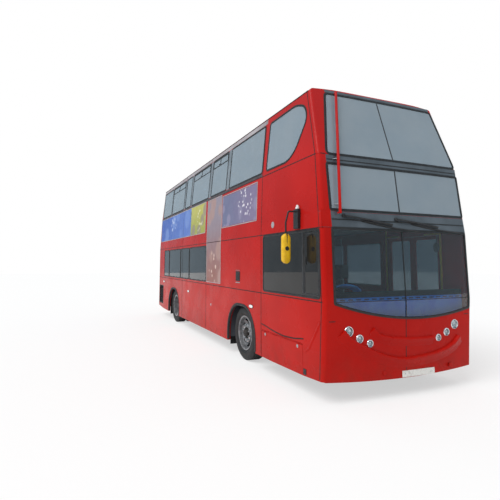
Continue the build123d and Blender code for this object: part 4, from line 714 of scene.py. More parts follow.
for side_name, side in SIDES:
    bm = bmesh.new()
    lower = OFFSIDE_PANES if side < 0 else NEARSIDE_PANES
    outlines = [rounded(rectangle(x0, x1, *UPPER_Z), PANE_RADIUS) for x0, x1 in UPPER_PANES] + [egg]
    outlines += [rounded(rectangle(x0, x1, *LOWER_Z), PANE_RADIUS) for x0, x1 in lower]
    if side < 0:
        outlines.append(rounded(CAB_PANE, PANE_RADIUS))
    for outline in outlines:
        bead(bm, side_name, outline, GASKET, 0.006, closed=True)
    piece(f"window_gaskets_{side_name}", bm, SEAL, slot="black_plastic")

    # Red between the egg curve of the front upper pane and the corners of its opening
    bm = bmesh.new()
    curve = CORNER_STEPS + 1
    for i in range(1, len(TEARDROP) - 1):
        bend = egg[curve * i:curve * (i + 1)][::-1]
        patch_on_wall(bm, side_name, [Vector(TEARDROP[i])] + bend, SHEET_PROUD)
    piece(f"egg_pane_corners_{side_name}", bm, RED, slot="red_paint")

    # Hopper panes: a sliding light above a bar, with its frame and pull
    bm = bmesh.new()
    for number in HOPPER_PANES:
        x0, x1 = UPPER_PANES[number]
        frame_line = rounded(rectangle(x0 + 0.03, x1 - 0.03, HOPPER_Z, UPPER_Z[1] - 0.03), 0.02)
        bead(bm, side_name, frame_line, 0.022, 0.007, closed=True)
        middle = (x0 + x1) / 2
        bead(bm, side_name, ((middle, HOPPER_Z), (middle, UPPER_Z[1] - 0.03)), 0.018, 0.008)
        pull_z = HOPPER_Z + 0.03
        bead(bm, side_name, ((middle - 0.09, pull_z), (middle - 0.03, pull_z)), 0.012, 0.012)
    piece(f"hopper_frames_{side_name}", bm, BLACK_ABS, slot="black_plastic")

    # Film bands: dark at the waist, grey-blue on the pillars, and pale sheets on the cant rail and at the
    # rear corner that are a painted highlight of the sky on the rounded edges
    bm = bmesh.new()
    sheet_on_wall(bm, side_name, rectangle(-4.80, 3.24, 4.078, 4.150), FILM_PROUD, steps=(60, 3))
    sheet_on_wall(bm, side_name, rectangle(-4.82, -4.775, 3.245, 4.06), FILM_PROUD, steps=(2, 12))
    piece(f"cant_rail_painted_highlight_{side_name}", bm, PALE_TRIM_AND_HIGHLIGHT)
    bm = bmesh.new()
    sheet_on_wall(bm, side_name, rectangle(-4.86, 3.18, 3.182, 3.224), FILM_PROUD, steps=(60, 2))
    piece(f"waist_film_{side_name}", bm, WAIST_FILM)
    bm = bmesh.new()
    for (x0, _), (_, x1) in zip(UPPER_PANES, UPPER_PANES[1:]):
        post = rectangle(x1 + 0.018, x0 - 0.018, 3.230, 4.070)
        sheet_on_wall(bm, side_name, post, POST_FILM_PROUD, steps=(3, 12))
    piece(f"pillar_film_{side_name}", bm, PILLAR_FILM)

bm = bmesh.new()
for outline in (rounded(WINDSCREEN, 0.02), rounded(SIGN_GLASS, 0.025), rounded(UPPER_SCREEN, 0.06)):
    bead(bm, "front", outline, 0.034, 0.008, closed=True)
# The laminated screens are in two halves, joined by a rubber strip
for z0, z1 in ((1.03, 2.17), (2.44, 3.03), (3.20, 4.13)):
    bead(bm, "front", ((0.0, z0), (0.0, z1)), 0.016, 0.005)
bead(bm, "front", ((-1.10, SEAM_LOW), (1.19, SEAM_LOW)), 0.010, 0.003)
piece("front_gaskets", bm, SEAL, slot="black_plastic")
# Bands between the screens, so that the front reads as one sheet of glass between the red corners
bm = bmesh.new()
for band in ((-1.118, 1.214, 3.062, 3.164), (-1.118, 1.214, 2.402, 2.410), (-0.90, 1.07, 4.166, 4.210)):
    sheet_on_wall(bm, "front", rectangle(*band), SHEET_PROUD, steps=(30, 3))
for z in (3.100, 2.300):
    bead(bm, "front", ((-1.11, z), (1.21, z)), 0.014, 0.006, paint=1)
piece("front_bands", bm, [SLATE_BAND, SEAL])
# A dark sheet over the driver's window: painted shade of the cab behind it
bm = bmesh.new()
(cab_x0, cab_z0), (cab_x1, cab_z1) = CAB_PANE[0], CAB_PANE[2]
cab_shade = rectangle(cab_x0 + 0.01, cab_x1 - 0.01, cab_z0 + 0.01, cab_z1 - 0.01)
sheet_on_wall(bm, "offside", cab_shade, 0.0015, depth=0.0005, steps=(20, 8))
piece("cab_window_painted_shade", bm, CAB_SHADE_GLASS)
# Red over the dark ends of the header, at the offside corner
bm = bmesh.new()
sheet_on_wall(bm, "front", rectangle(-1.258, -1.120, 2.196, 2.412), SHEET_PROUD, steps=(4, 4))
header_end = ((4.925, 2.196), (4.986, 2.196), (4.961, 2.396), (4.900, 2.396))
sheet_on_wall(bm, "offside", header_end, SHEET_PROUD, steps=(2, 4))
piece("header_corners", bm, RED, slot="red_paint")
bm = bmesh.new()
bead(bm, "rear", rounded(REAR_SCREEN, 0.06), 0.05, 0.008, closed=True)
piece("rear_screen_gasket", bm, SEAL, slot="black_plastic")

# Driver's window: a sliding half ahead of a bar, with its pull
bm = bmesh.new()
bead(bm, "offside", ((4.53, 1.33), (4.53, 2.14)), 0.05, 0.006)
bead(bm, "offside", rounded(rectangle(4.57, 4.90, 1.34, 2.13), 0.03), 0.02, 0.005, closed=True)
bead(bm, "offside", ((4.60, 1.72), (4.60, 1.82)), 0.014, 0.012)
piece("cab_window_frame", bm, BLACK_ABS, slot="black_plastic")

# Joints between the panels, drawn with sealant
JOINT = 0.013
JOINT_INSET = 0.066
for side_name, side in SIDES:
    bm = bmesh.new()
    for z in (SEAM_LOW, SEAM_FLOOR, SEAM_HIGH):
        path = ((level(z, REAR_X) + 0.03, z), (level(z, FRONT_X) - 0.05, z))
        if side < 0 or z > SEAM_FLOOR - 0.01:
            bead(bm, side_name, path, JOINT, JOINT_PROUD)
        else:
            for x0, x1 in ((-5.03, -0.51), (0.87, 3.29), (4.67, 4.98)):
                bead(bm, side_name, ((x0, z), (x1, z)), JOINT, JOINT_PROUD)
    bead(bm, side_name, ((-4.83, ROOF_SEAM), (4.50, ROOF_SEAM)), JOINT, JOINT_PROUD)
    for x in BAY_SEAMS:
        low = 0.27 if side < 0 or x > 1 or x < -1 else SEAM_FLOOR
        bead(bm, side_name, ((x, low), (x, ROOF_SEAM)), JOINT, JOINT_PROUD)
    heights = (0.31, SEAM_LOW, SEAM_FLOOR, SEAM_HIGH, ROOF_SEAM)
    corner = [(level(z, FRONT_X) - JOINT_INSET, z) for z in heights]
    bead(bm, side_name, corner, JOINT, JOINT_PROUD)
    rear = [(level(z, REAR_X) + JOINT_INSET, z) for z in (0.34, SEAM_FLOOR, SEAM_HIGH, ROOF_SEAM)]
    bead(bm, side_name, rear, JOINT, JOINT_PROUD)
    piece(f"panel_joints_{side_name}", bm, SEALANT)
bm = bmesh.new()
bead(bm, "front", ((0.0, 0.34), (0.0, 1.0)), 0.010, 0.002)
for way in (-1, 1):
    bead(bm, "front", ((way * 1.195, 1.02), (way * 1.105, 1.02)), 0.010, 0.002)
    bead(bm, "front", ((way * 1.195, SEAM_HIGH), (way * 1.125, SEAM_HIGH)), 0.012, 0.002)
for z in (SEAM_FLOOR, SEAM_HIGH):
    bead(bm, "rear", ((-1.2, z), (1.2, z)), JOINT, JOINT_PROUD)
piece("panel_joints_ends", bm, SEALANT)

# Wheel arches: rubber lips round the openings, and flaps behind the wheels
ARCH_FOOT = 0.275
FLAP_GAP = 0.045
arches = []
for axle_x in (FRONT_AXLE_X, REAR_AXLE_X):
    left, right, top = axle_x - ARCH_HALF, axle_x + ARCH_HALF, ARCH_TOP
    path = [(left, ARCH_FOOT)]
    for centre_x, start_deg in ((left + ARCH_RADIUS, 180), (right - ARCH_RADIUS, 90)):
        for k in range(17):
            t = math.radians(start_deg - 90 * k / 16)
            path.append((centre_x + ARCH_RADIUS * math.cos(t), top - ARCH_RADIUS + ARCH_RADIUS * math.sin(t)))
    path.append((right, ARCH_FOOT))
    arches.append(path)
for side_name, side in SIDES:
    bm = bmesh.new()
    for path in arches:
        bead(bm, side_name, path, 0.060, 0.012, depth=0.03, arch=True)
    for axle_x in (FRONT_AXLE_X, REAR_AXLE_X):
        flap_x = axle_x - ARCH_HALF - FLAP_GAP
        y0, y1 = sorted((side * 0.90, side * 1.19))
        box(bm, (flap_x, y0, 0.16), (flap_x + 0.008, y1, 0.42))
    piece(f"arch_rubbers_{side_name}", bm, SEAL, slot="black_plastic", bevel=0.002)

# Generic printed panels on the side, with thin aluminium frames
bm = bmesh.new()
for wall, edges, steps, paint in (
    ("offside", (-4.85, -1.16, 2.45, 3.165), (60, 12), 0),
    ("offside", (-1.16, 0.10, 2.45, 3.165), (24, 12), 1),
    ("offside", (0.275, 1.20, 1.33, SEAM_FLOOR - 0.008), (16, 14), 2),
    ("offside", (0.275, 1.20, SEAM_FLOOR + 0.008, 3.15), (16, 14), 2),
    ("offside", (1.28, 2.98, 2.475, 3.105), (28, 10), 3),
    ("nearside", (-4.85, -0.70, 2.45, 3.165), (60, 12), 0),
):
    sheet_on_wall(bm, wall, rectangle(*edges), SHEET_PROUD, steps=steps, paint=paint)
piece("printed_panels", bm, [VINYL_BLUE, VINYL_LIME, VINYL_WARM, VINYL_DUSK])
bm = bmesh.new()
for wall, edges in (
    ("offside", (-4.86, 0.115, 2.44, 3.168)), ("offside", (0.268, 1.215, 1.315, 3.160)),
    ("offside", (1.262, 3.0, 2.46, 3.12)), ("nearside", (-4.86, -0.69, 2.44, 3.168)),
):
    bead(bm, wall, rounded(rectangle(*edges), 0.01), 0.016, 0.006, closed=True)
piece("panel_frames", bm, PALE_TRIM_AND_HIGHLIGHT)

# Stair vent, repeater lamps, swept lines and the hatch's locks
bm = bmesh.new()
sheet_on_wall(bm, "offside", rectangle(2.085, 2.290, 1.405, 1.585), 0.003, steps=(6, 6))
for number in range(7):
    z = 1.425 + number * 0.0235
    bead(bm, "offside", ((2.10, z), (2.275, z)), 0.012, 0.012)
piece("stair_vent", bm, BLACK_ABS, slot="black_plastic", bevel=0.001)
bm = bmesh.new()
bead(bm, "offside", ((2.09, 1.378), (2.285, 1.378)), 0.016, 0.006)
bead(bm, "offside", ((2.09, 1.603), (2.285, 1.603)), 0.008, 0.005)
piece("stair_vent_trim", bm, ANODISED)

REPEATERS = ((-4.25, 1.13), (-1.25, 1.0), (2.80, 1.0))
# Share of the lens's outline and how far it stands off the skin, from the bezel's edge to the crown
REPEATER_BANDS = ((1.12, -0.002), (1.12, 0.006), (1.0, 0.009), (0.8, 0.017), (0.4, 0.021), (0.05, 0.022))
for side_name, side in SIDES:
    bm = bmesh.new()
    for x, z in REPEATERS:
        spots = [(0.080 * math.cos(t), 0.028 * math.sin(t)) for t in turns(24)]
        rings = []
        for share, out in REPEATER_BANDS:
            rings.append([on_wall(side_name, x + share * u, z + share * v, out) for u, v in spots])
        # The two outer bands of faces are the rubber bezel
        for bezel_face in skin(bm, rings)[:2 * len(spots)]:
            bezel_face.material_index = 1
    piece(f"side_repeaters_{side_name}", bm, [WHITE_ACRYLIC, SEAL])

bm = bmesh.new()
SWOOSH = (
    (3.215, 0.765), (3.35, 0.752), (3.56, 0.722), (3.78, 0.700), (3.97, 0.690), (4.25, 0.705), (4.515, 0.740),
)
bead(bm, "offside", SWOOSH, 0.022, 0.004, arch=True)
bead(bm, "nearside", ((3.215, 0.765), (3.285, 0.757)), 0.022, 0.004, arch=True)
piece("swoosh_line", bm, SEALANT)
bm = bmesh.new()
bead(bm, "offside", ((4.92, 1.01), (4.80, 0.84), (4.66, 0.65), (4.56, 0.585)), 0.05, 0.008, arch=True)
bead(bm, "nearside", ((4.92, 1.01), (4.80, 0.84), (4.70, 0.70)), 0.05, 0.008, arch=True)
piece("bumper_creases", bm, RED, slot="red_paint")
LOCK = ((-0.001, 0.0), (-0.001, 0.024), (0.004, 0.024), (0.006, 0.018), (0.003, 0.008), (0.003, 0.0))
bm = bmesh.new()
for x in (3.36, 4.36):
    turned(bm, on_wall("offside", x, 0.62), (0, -1, 0), LOCK, 24)
piece("hatch_locks", bm, ZINC, body="hatch")
bm = bmesh.new()
sheet_on_wall(bm, "offside", rectangle(4.515, 4.585, 0.286, 0.360), 0.006, steps=(4, 4))
piece("hatch_stop", bm, BLACK_ABS, bevel=0.002)

# Round caps: two on the offside, one on the nearside
bm = bmesh.new()
for wall, x, z, radius in (
    ("offside", 0.62, 0.83, 0.028), ("offside", 3.62, 2.33, 0.05), ("nearside", -1.40, 1.45, 0.028)
):
    cap = (
        (-0.004, 0.0), (-0.004, radius), (0.004, radius), (0.006, radius * 0.85), (0.005, radius * 0.3),
        (0.005, 0.0),
    )
    turned(bm, on_wall(wall, x, z), (0, dict(SIDES)[wall], 0), cap, 28)
piece("side_caps", bm, PALE_TRIM_AND_HIGHLIGHT)

# Front mask: creases, lamps with chrome bezels, tow covers and plate screws
bm = bmesh.new()
UPPER_CREASE = (
    (-0.571, 0.875), (-0.483, 0.786), (-0.30, 0.735), (0.012, 0.699), (0.28, 0.690), (0.47, 0.694),
)
LOWER_CREASE = (
    (-1.02, 0.86), (-0.967, 0.801), (-0.84, 0.705), (-0.672, 0.622), (-0.52, 0.555), (-0.355, 0.496),
    (-0.17, 0.450), (0.014, 0.433), (0.28, 0.445), (0.545, 0.471), (0.76, 0.520), (0.923, 0.590), (1.02, 0.68)
)
bead(bm, "front", UPPER_CREASE, 0.130, 0.036, ledge=True)
bead(bm, "front", LOWER_CREASE, 0.150, 0.040, ledge=True)
piece("mask_creases", bm, RED, slot="red_paint")

HEADLAMPS = ((0.908, 0.887, 0.067), (0.746, 0.789, 0.055), (0.587, 0.722, 0.050))
bezels = bmesh.new()
lenses = bmesh.new()
bowls = bmesh.new()
for y, z, radius in HEADLAMPS:
    for way in (-1, 1):
        back = on_wall("front", way * y, z) - Vector((0.020, 0, 0))
        turned(bezels, back, (1, 0, 0), (
            (0.0, radius + 0.0005), (0.022, radius + 0.0005), (0.027, radius - 0.004),
            (0.026, radius - 0.011), (0.014, radius - 0.013), (0.0, radius - 0.013),
        ), 40)
        cap = [(0.020, radius - 0.012), (0.025, radius * 0.7), (0.029, radius * 0.35), (0.030, 0.0005)]
        inner = [(a - 0.003, r) for a, r in reversed(cap)]
        turned(lenses, back, (1, 0, 0), cap + inner, 40)
        turned(bowls, back, (1, 0, 0), (
            (0.012, radius - 0.013), (-0.004, radius * 0.72), (-0.018, radius * 0.40),
            (-0.022, radius * 0.20),
            (-0.022, 0.0005), (-0.026, 0.0005), (-0.026, radius * 0.5), (-0.010, radius * 0.9),
            (0.008, radius - 0.006),
        ), 40)
        turned(bowls, back, (1, 0, 0), (
            (-0.022, 0.0005), (-0.022, radius * 0.16), (-0.004, radius * 0.18), (0.004, radius * 0.10),
            (0.006, 0.0005),
        ), 20, paint=1)
piece("lamp_bezels", bezels, CHROME)
piece("lamp_lenses", lenses, LENS, slot="lamp_glass")
bowl = piece("lamp_reflectors", bowls, [REFLECTOR, WHITE_ACRYLIC], slot="lamp_glass")
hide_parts("headlamps")

bm = bmesh.new()
for y in (-0.36, 0.80):
    turned(bm, (5.016, y, 0.33), (1, 0, 0), ((0.0, 0.0), (0.0, 0.03), (0.012, 0.03), (0.012, 0.0)), 24)
piece("tow_covers", bm, RED, bevel=0.002, slot="red_paint")
SCREW = ((-0.001, 0.0), (-0.001, 0.008), (0.003, 0.006), (0.004, 0.0))
plate_face_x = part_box("number_plates")[1].x
bm = bmesh.new()
for x, y, z, way in (
    (plate_face_x, -0.02, 0.290, 1), (plate_face_x, 0.445, 0.290, 1),
    (TAIL_X, -0.21, 0.378, -1), (TAIL_X, 0.21, 0.378, -1),
):
    turned(bm, (x, y, z), (way, 0, 0), SCREW, 16)
piece("plate_screws", bm, ZINC)

# Wipers: an arm from each spindle, a rod beside it and a bowed blade
WIPERS = (((-0.930, 2.350), (0.300, 2.200)), ((-0.080, 2.335), (1.120, 2.205)))
bm = bmesh.new()
for (py, pz), (ty, tz) in WIPERS:
    pivot = on_wall("front", py, pz, 0.030)
    tip = on_wall("front", ty, tz, 0.024)
    along = tip - pivot
    turned(bm, on_wall("front", py, pz, -0.004), (1, 0, 0), (
        (0.0, 0.0), (0.0, 0.026), (0.022, 0.024), (0.032, 0.015), (0.036, 0.0),
    ), 24)
    tube(bm, [pivot, pivot + along * 0.30 + Vector((0.006, 0, 0.004)), pivot + along * 0.62], 0.012)
    tube(bm, [pivot + Vector((0, 0, -0.03)), pivot + along * 0.62 + Vector((0, 0, -0.012))], 0.004, 8)
    blade = []
    for k in range(13):
        bow = 0.02 * math.sin(math.pi * k / 12)
        blade.append(pivot + along * (0.22 + 0.78 * k / 12) + Vector((-0.012, 0, -0.016 - bow)))
    tube(bm, blade, 0.010, 8)
    tube(bm, [p + Vector((-0.008, 0, -0.014)) for p in blade], 0.006, 6)
    tube(bm, [pivot + along * 0.62, blade[6]], 0.006, 8)
wiper = piece("wiper_set", bm, BLACK_ABS, slot="black_plastic")
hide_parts("wipers")

# Guard pole: small brackets that hold it off the glass
bm = bmesh.new()
for z, y in ((2.50, -1.010), (3.11, -0.963)):
    foot = on_wall("front", y, z, -0.002)
    plan = ((0, -0.055), (0, 0.055), (0.046, 0.012), (0.046, -0.012))
    skin(bm, [[foot + Vector((a, b, thick)) for a, b in plan] for thick in (-0.004, 0.004)])
piece("pole_brackets", bm, ANODISED, bevel=0.001)

# A pale fitting on top of each mirror bracket
fittings = []
for side_name, side in SIDES:
    fittings.append(((4.372, side * 1.262, 2.486), (4.436, side * 1.290, 2.520)))
    fittings.append(((4.386, side * 1.266, 2.520), (4.422, side * 1.286, 2.542)))
boxes("bracket_fittings", WHITE_ACRYLIC, fittings, bevel=0.006)

# Mirrors: moulded shells with silvered glass facing back, on a dark knuckle
shells = bmesh.new()
glasses = bmesh.new()
knuckles = bmesh.new()
MIRROR_SIZE = Vector((0.040, 0.0675, 0.205))
for side_name, side in SIDES:
    centre = Vector((4.420, side * 1.4675, 1.935))
    rings = []
    for k in range(13):
        t = -1 + 2 * k / 12
        # Flat back where the glass sits, full front, corners drawn in at both ends
        share = max((1 - abs(t) ** 6) ** (1 / 6), 0.30)
        ring = []
        for a in turns(28):
            cx, sx = math.cos(a), math.sin(a)
            y = math.copysign(abs(cx) ** 0.55, cx) * MIRROR_SIZE.y * share
            x = math.copysign(abs(sx) ** 0.75, sx) * MIRROR_SIZE.x * (0.6 + 0.4 * share)
            if x < 0:
                x *= 0.8
            ring.append(centre + Vector((x, y, t * MIRROR_SIZE.z)))
        rings.append(ring)
    skin(shells, rings)
    outline = rounded([(-0.055, -0.18), (0.055, -0.18), (0.055, 0.18), (-0.055, 0.18)], 0.03)
    rims = []
    for out, grow in ((-0.0335, 1.0), (-0.0365, 0.96)):
        rims.append([centre + Vector((out, p.x * grow, p.y * grow)) for p in outline])
    skin(glasses, rims)
    boss = ((0, 0.0), (0, 0.034), (0.022, 0.030), (0.0225, 0.0))
    turned(knuckles, centre + Vector((0.018, 0, 0.0)), (1, 0, 0), boss, 20)
    tube(knuckles, [centre + Vector(p) for p in ((0.03, 0, 0), (0.034, 0, 0.20), (0.008, 0, 0.212))], 0.009)
shell = piece("mirror_shells", shells, YELLOW_ABS, slot="yellow_paint", subdivide=1)
piece("mirror_glass", glasses, MIRROR)
piece("mirror_knuckles", knuckles, BLACK_ABS, slot="black_plastic")
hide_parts("mirror_housings")


# Wheels: tyres with ribs and shoulder notches, pressed discs with hand holes, nuts and hubs
def tyre(bm, x, y):
    """One tyre. The tread has four grooves, and the shoulders are notched at every second block."""
    half = [
        (0.104, RIM_RADIUS + 0.0005), (0.104, 0.3083), (0.112, 0.318), (0.128, 0.345), (0.1335, 0.356),
        (0.1355, 0.360), (0.1345, 0.364), (0.1375, 0.385), (0.1365, 0.415), (0.131, 0.440), (0.122, 0.456),
        (0.114, 0.4655), (0.106, 0.4755), (0.100, 0.478), (0.0815, 0.478), (0.0795, 0.468), (0.0705, 0.468),
        (0.0685, 0.478), (0.0335, 0.478), (0.0315, 0.468), (0.0225, 0.468), (0.0205, 0.478),
    ]
    profile = half + [(-a, r) for a, r in reversed(half)]
    segments = 96
    rings = []
    for k, t in enumerate(turns(segments)):
        notch = 0.005 if k % 4 < 2 else 0.0
        shift = 0.004 * math.sin(t * 24)
        ring = []
        for a, r in profile:
            shoulder = 0.108 < abs(a) < 0.124 and r > 0.45
            groove = abs(a) < 0.09 and r > 0.46
            radius = r - notch if shoulder else r
            across = y + a + (shift if groove else 0)
            ring.append(Vector((x + radius * math.sin(t), across, HUB_Z + radius * math.cos(t))))
        rings.append(ring)
    skin(bm, rings, loop=True)


STUD_CIRCLE = 0.1375
NUTS = 10


def stud_ring(bm, x, y, side, reach):
    """Wheel nuts on a ring, each a hexagon with its stud."""
    nut = (
        (-0.002, 0.0), (-0.002, 0.021), (0.004, 0.021), (0.004, 0.016), (reach, 0.015),
        (reach + 0.003, 0.009), (reach + 0.012, 0.008), (reach + 0.013, 0.0),
    )
    for k in range(NUTS):
        t = 2 * math.pi * (k + 0.5) / NUTS
        middle = Vector((x + STUD_CIRCLE * math.cos(t), y, HUB_Z + STUD_CIRCLE * math.sin(t)))
        turned(bm, middle, (0, side, 0), nut, 6)


def front_wheel(bm, x, y, side):
    """A one-piece wheel: barrel, flanges and a disc dished outwards, with ten hand holes."""
    barrel = [
        (-0.117, 0.274), (-0.117, 0.308), (-0.105, 0.308), (-0.105, 0.286), (0.105, 0.286), (0.105, 0.308),
        (0.112, 0.309), (0.118, 0.305), (0.118, 0.296), (0.112, 0.280), (0.090, 0.274),
    ]
    turned(bm, (x, y, HUB_Z), (0, side, 0), barrel, 80)
    stations = (
        (0.052, 0.278), (0.050, 0.262), (0.030, 0.248), (0.012, 0.225), (0.004, 0.205), (0.010, 0.190),
        (0.034, 0.178), (0.068, 0.170), (0.074, 0.160), (0.074, 0.104),
    )
    segments, thick = 80, 0.011
    grids = []
    for back in (0.0, thick):
        grid = []
        for t in turns(segments):
            column = []
            for a, r in stations:
                spot = (x + r * math.cos(t), y + side * (a - back), HUB_Z + r * math.sin(t))
                column.append(bm.verts.new(spot))
            grid.append(column)
        grids.append(grid)
    hole_rows = (1, 2, 3)
    last = len(stations) - 2

    def open_at(k, row):
        return row in hole_rows and k % 8 < 4

    for k in range(segments):
        n = (k + 1) % segments
        for row in range(last + 1):
            if open_at(k, row):
                continue
            for grid in grids:
                bm.faces.new((grid[k][row], grid[n][row], grid[n][row + 1], grid[k][row + 1]))
            for edge, hidden in (((k, row, n, row), open_at(k, row - 1) or row == 0),
                                 ((k, row + 1, n, row + 1), open_at(k, row + 1) or row == last),
                                 ((n, row, n, row + 1), open_at(n, row)),
                                 ((k, row, k, row + 1), open_at((k - 1) % segments, row))):
                if hidden:
                    a, b, c, d = edge
                    bm.faces.new((grids[0][a][b], grids[0][c][d], grids[1][c][d], grids[1][a][b]))


for side_name, side in SIDES:
    body = f"wheel_front_{side_name}"
    hub_y = side * TRACK_Y
    hub = (FRONT_AXLE_X, hub_y, HUB_Z)
    bm = bmesh.new()
    tyre(bm, FRONT_AXLE_X, hub_y)
    made = piece(f"front_tyre_tread_{side_name}", bm, RUBBER, body, "tyre_rubber", crease_deg=28)
    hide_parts(f"front_tyre_{side_name}")
    bm = bmesh.new()
    front_wheel(bm, FRONT_AXLE_X, hub_y, side)
    made = piece(f"front_disc_{side_name}", bm, WHEEL, body, "wheel_steel", bevel=0.0015)
    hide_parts(f"front_wheel_{side_name}")
    bm = bmesh.new()
    turned(bm, hub, (0, side, 0), (
        (-0.060, 0.0), (-0.060, 0.105), (0.0735, 0.105), (0.076, 0.100), (0.078, 0.086), (0.098, 0.080),
        (0.112, 0.070), (0.115, 0.050), (0.115, 0.0),
    ), 48)
    for t in turns(6):
        spot = (FRONT_AXLE_X + 0.062 * math.cos(t), hub_y + side * 0.110, HUB_Z + 0.062 * math.sin(t))
        turned(bm, spot, (0, side, 0), ((0, 0.0), (0, 0.007), (0.006, 0.006), (0.007, 0.0)), 6)
    piece(f"front_hub_{side_name}", bm, HUB, body, crease_deg=25)
    bm = bmesh.new()
    stud_ring(bm, FRONT_AXLE_X, hub_y + side * 0.074, side, 0.022)
    turned(bm, hub, (0, side, 0), (
        (0.0745, 0.158), (0.079, 0.158), (0.080, 0.155), (0.080, 0.120), (0.079, 0.117), (0.0745, 0.117),
    ), 60)
    piece(f"front_nuts_{side_name}", bm, ZINC, body, crease_deg=25)

    body = f"wheels_rear_{side_name}"
    bm = bmesh.new()
    for offset in (0, TWIN_PITCH):
        tyre(bm, REAR_AXLE_X, side * (TRACK_Y - offset))
    made = piece(f"rear_tyre_treads_{side_name}", bm, RUBBER, body, "tyre_rubber", crease_deg=28)
    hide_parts(f"rear_tyres_{side_name}")
    bm = bmesh.new()
    disc_y = side * (TRACK_Y - TWIN_PITCH / 2 + 0.0125)
    stud_ring(bm, REAR_AXLE_X, disc_y, side, 0.024)
    turned(bm, (REAR_AXLE_X, side * (TRACK_Y + 0.1055), HUB_Z), (0, side, 0), (
        (-0.001, 0.309), (0.010, 0.3095), (0.0125, 0.305), (0.0125, 0.292), (0.008, 0.286), (-0.001, 0.286),
    ), 72)
    piece(f"rear_nuts_{side_name}", bm, ZINC, body, crease_deg=25)


# Seats: crowned pads on moulded shells, with a grab handle on the aisle corner
def pad(bm, middle, half, up, out, channels, crown=0.35, cells=10):
    """A stuffed pad. up and out are its long and thick ways, and its sides pull in between the corners."""
    up, out = Vector(up).normalized(), Vector(out).normalized()
    across = up.cross(out)
    width, height, thick = half
    lattice = {}

    def spot(i, j, k):
        key = (i, j, k)
        if key not in lattice:
            a, b, c = (2 * v / n - 1 for v, n in ((i, cells), (j, cells), (k, 4)))
            pull_a = 1 - 0.035 * (1 - b * b)
            pull_b = 1 - 0.025 * (1 - a * a)
            edge = max(abs(a), abs(b))
            swell = 1 + crown * (1 - a * a) * (1 - b * b) if c > 0 else 1
            narrow = 1 - 0.12 * c * c * edge
            depth = c * thick * (1 - 0.45 * edge ** 6) * swell
            for line in channels:
                if c > 0.9:
                    depth -= thick * 0.28 * math.exp(-((b - line) / 0.06) ** 2)
            p = Vector(middle) + across * a * width * pull_a * narrow + up * b * height * pull_b * narrow
            lattice[key] = bm.verts.new(p + out * depth)
        return lattice[key]

    for k in (0, 4):
        for i in range(cells):
            for j in range(cells):
                bm.faces.new((spot(i, j, k), spot(i + 1, j, k), spot(i + 1, j + 1, k), spot(i, j + 1, k)))
    for k in range(4):
        for s in range(cells):
            for edge in (0, cells):
                low = spot(s, edge, k), spot(s + 1, edge, k)
                high = spot(s + 1, edge, k + 1), spot(s, edge, k + 1)
                bm.faces.new(low + high)
            for edge in (0, cells):
                low = spot(edge, s, k), spot(edge, s + 1, k)
                high = spot(edge, s + 1, k + 1), spot(edge, s, k + 1)
                bm.faces.new(low + high)


SEAT_HEIGHT = 0.450
SEAT_BACK = 1.050
SEAT_MID_Y = 0.745
UPPER_SEAT_MID_Y = 0.700
PLACE = 0.215


def bench(pads, shells, rails, back_x, base_z, mid_y, places):
    """One forward-facing bench: a cushion and a back for each place, a shell behind and a leg below."""
    lean = math.atan2(0.060, 0.600)
    up = Vector((-math.sin(lean), 0, math.cos(lean)))
    out = Vector((math.cos(lean), 0, math.sin(lean)))
    seat_z = base_z + SEAT_HEIGHT
    for y in places:
        cushion = (back_x + 0.235, mid_y + y, seat_z - 0.032)
        pad(pads, cushion, (PLACE - 0.008, 0.180, 0.034), (1, 0, 0), (0, 0, 1), (-0.3, 0.35))
        back = (back_x + 0.022, mid_y + y, seat_z + 0.300)
        pad(pads, back, (PLACE - 0.010, 0.275, 0.026), up, out, (-0.45, 0.0, 0.5), 0.3)
    reach = abs(places[0]) + PLACE
    for a, b in ((-reach, -0.006), (0.006, reach)) if len(places) > 1 else ((-reach, reach),):
        rings = []
        for share in [k / 8 for k in range(9)]:
            z = seat_z - 0.05 + share * (SEAT_BACK - SEAT_HEIGHT + 0.05)
            x = back_x + 0.004 - (z - seat_z) * math.tan(lean) - 0.010
            bulge = 0.014 * math.sin(math.pi * share)
            rings.append([Vector((x, mid_y + a, z)), Vector((x - 0.012 - bulge, mid_y + a + 0.03, z)),
                          Vector((x - 0.012 - bulge, mid_y + b - 0.03, z)), Vector((x, mid_y + b, z)),
                          Vector((x + 0.006, mid_y + b - 0.02, z)), Vector((x + 0.006, mid_y + a + 0.02, z))])
        skin(shells, rings)
    pan_low = (back_x + 0.01, mid_y - reach, seat_z - 0.078)
    box(shells, pan_low, (back_x + 0.415, mid_y + reach, seat_z - 0.064))
    box(shells, (back_x + 0.13, mid_y - 0.030, base_z), (back_x + 0.29, mid_y + 0.030, seat_z - 0.078))
    aisle = -math.copysign(1, mid_y) * (reach - 0.03)
    top = base_z + SEAT_BACK
    handle = (
        (-0.035, 1.0, -0.11), (-0.050, 1.0, -0.02), (-0.045, 0.95, -0.004), (-0.045, 0.62, -0.004),
        (-0.045, 0.58, -0.03),
    )
    tube(rails, [(back_x + x, mid_y + aisle * share, top + z) for x, share, z in handle], 0.011)


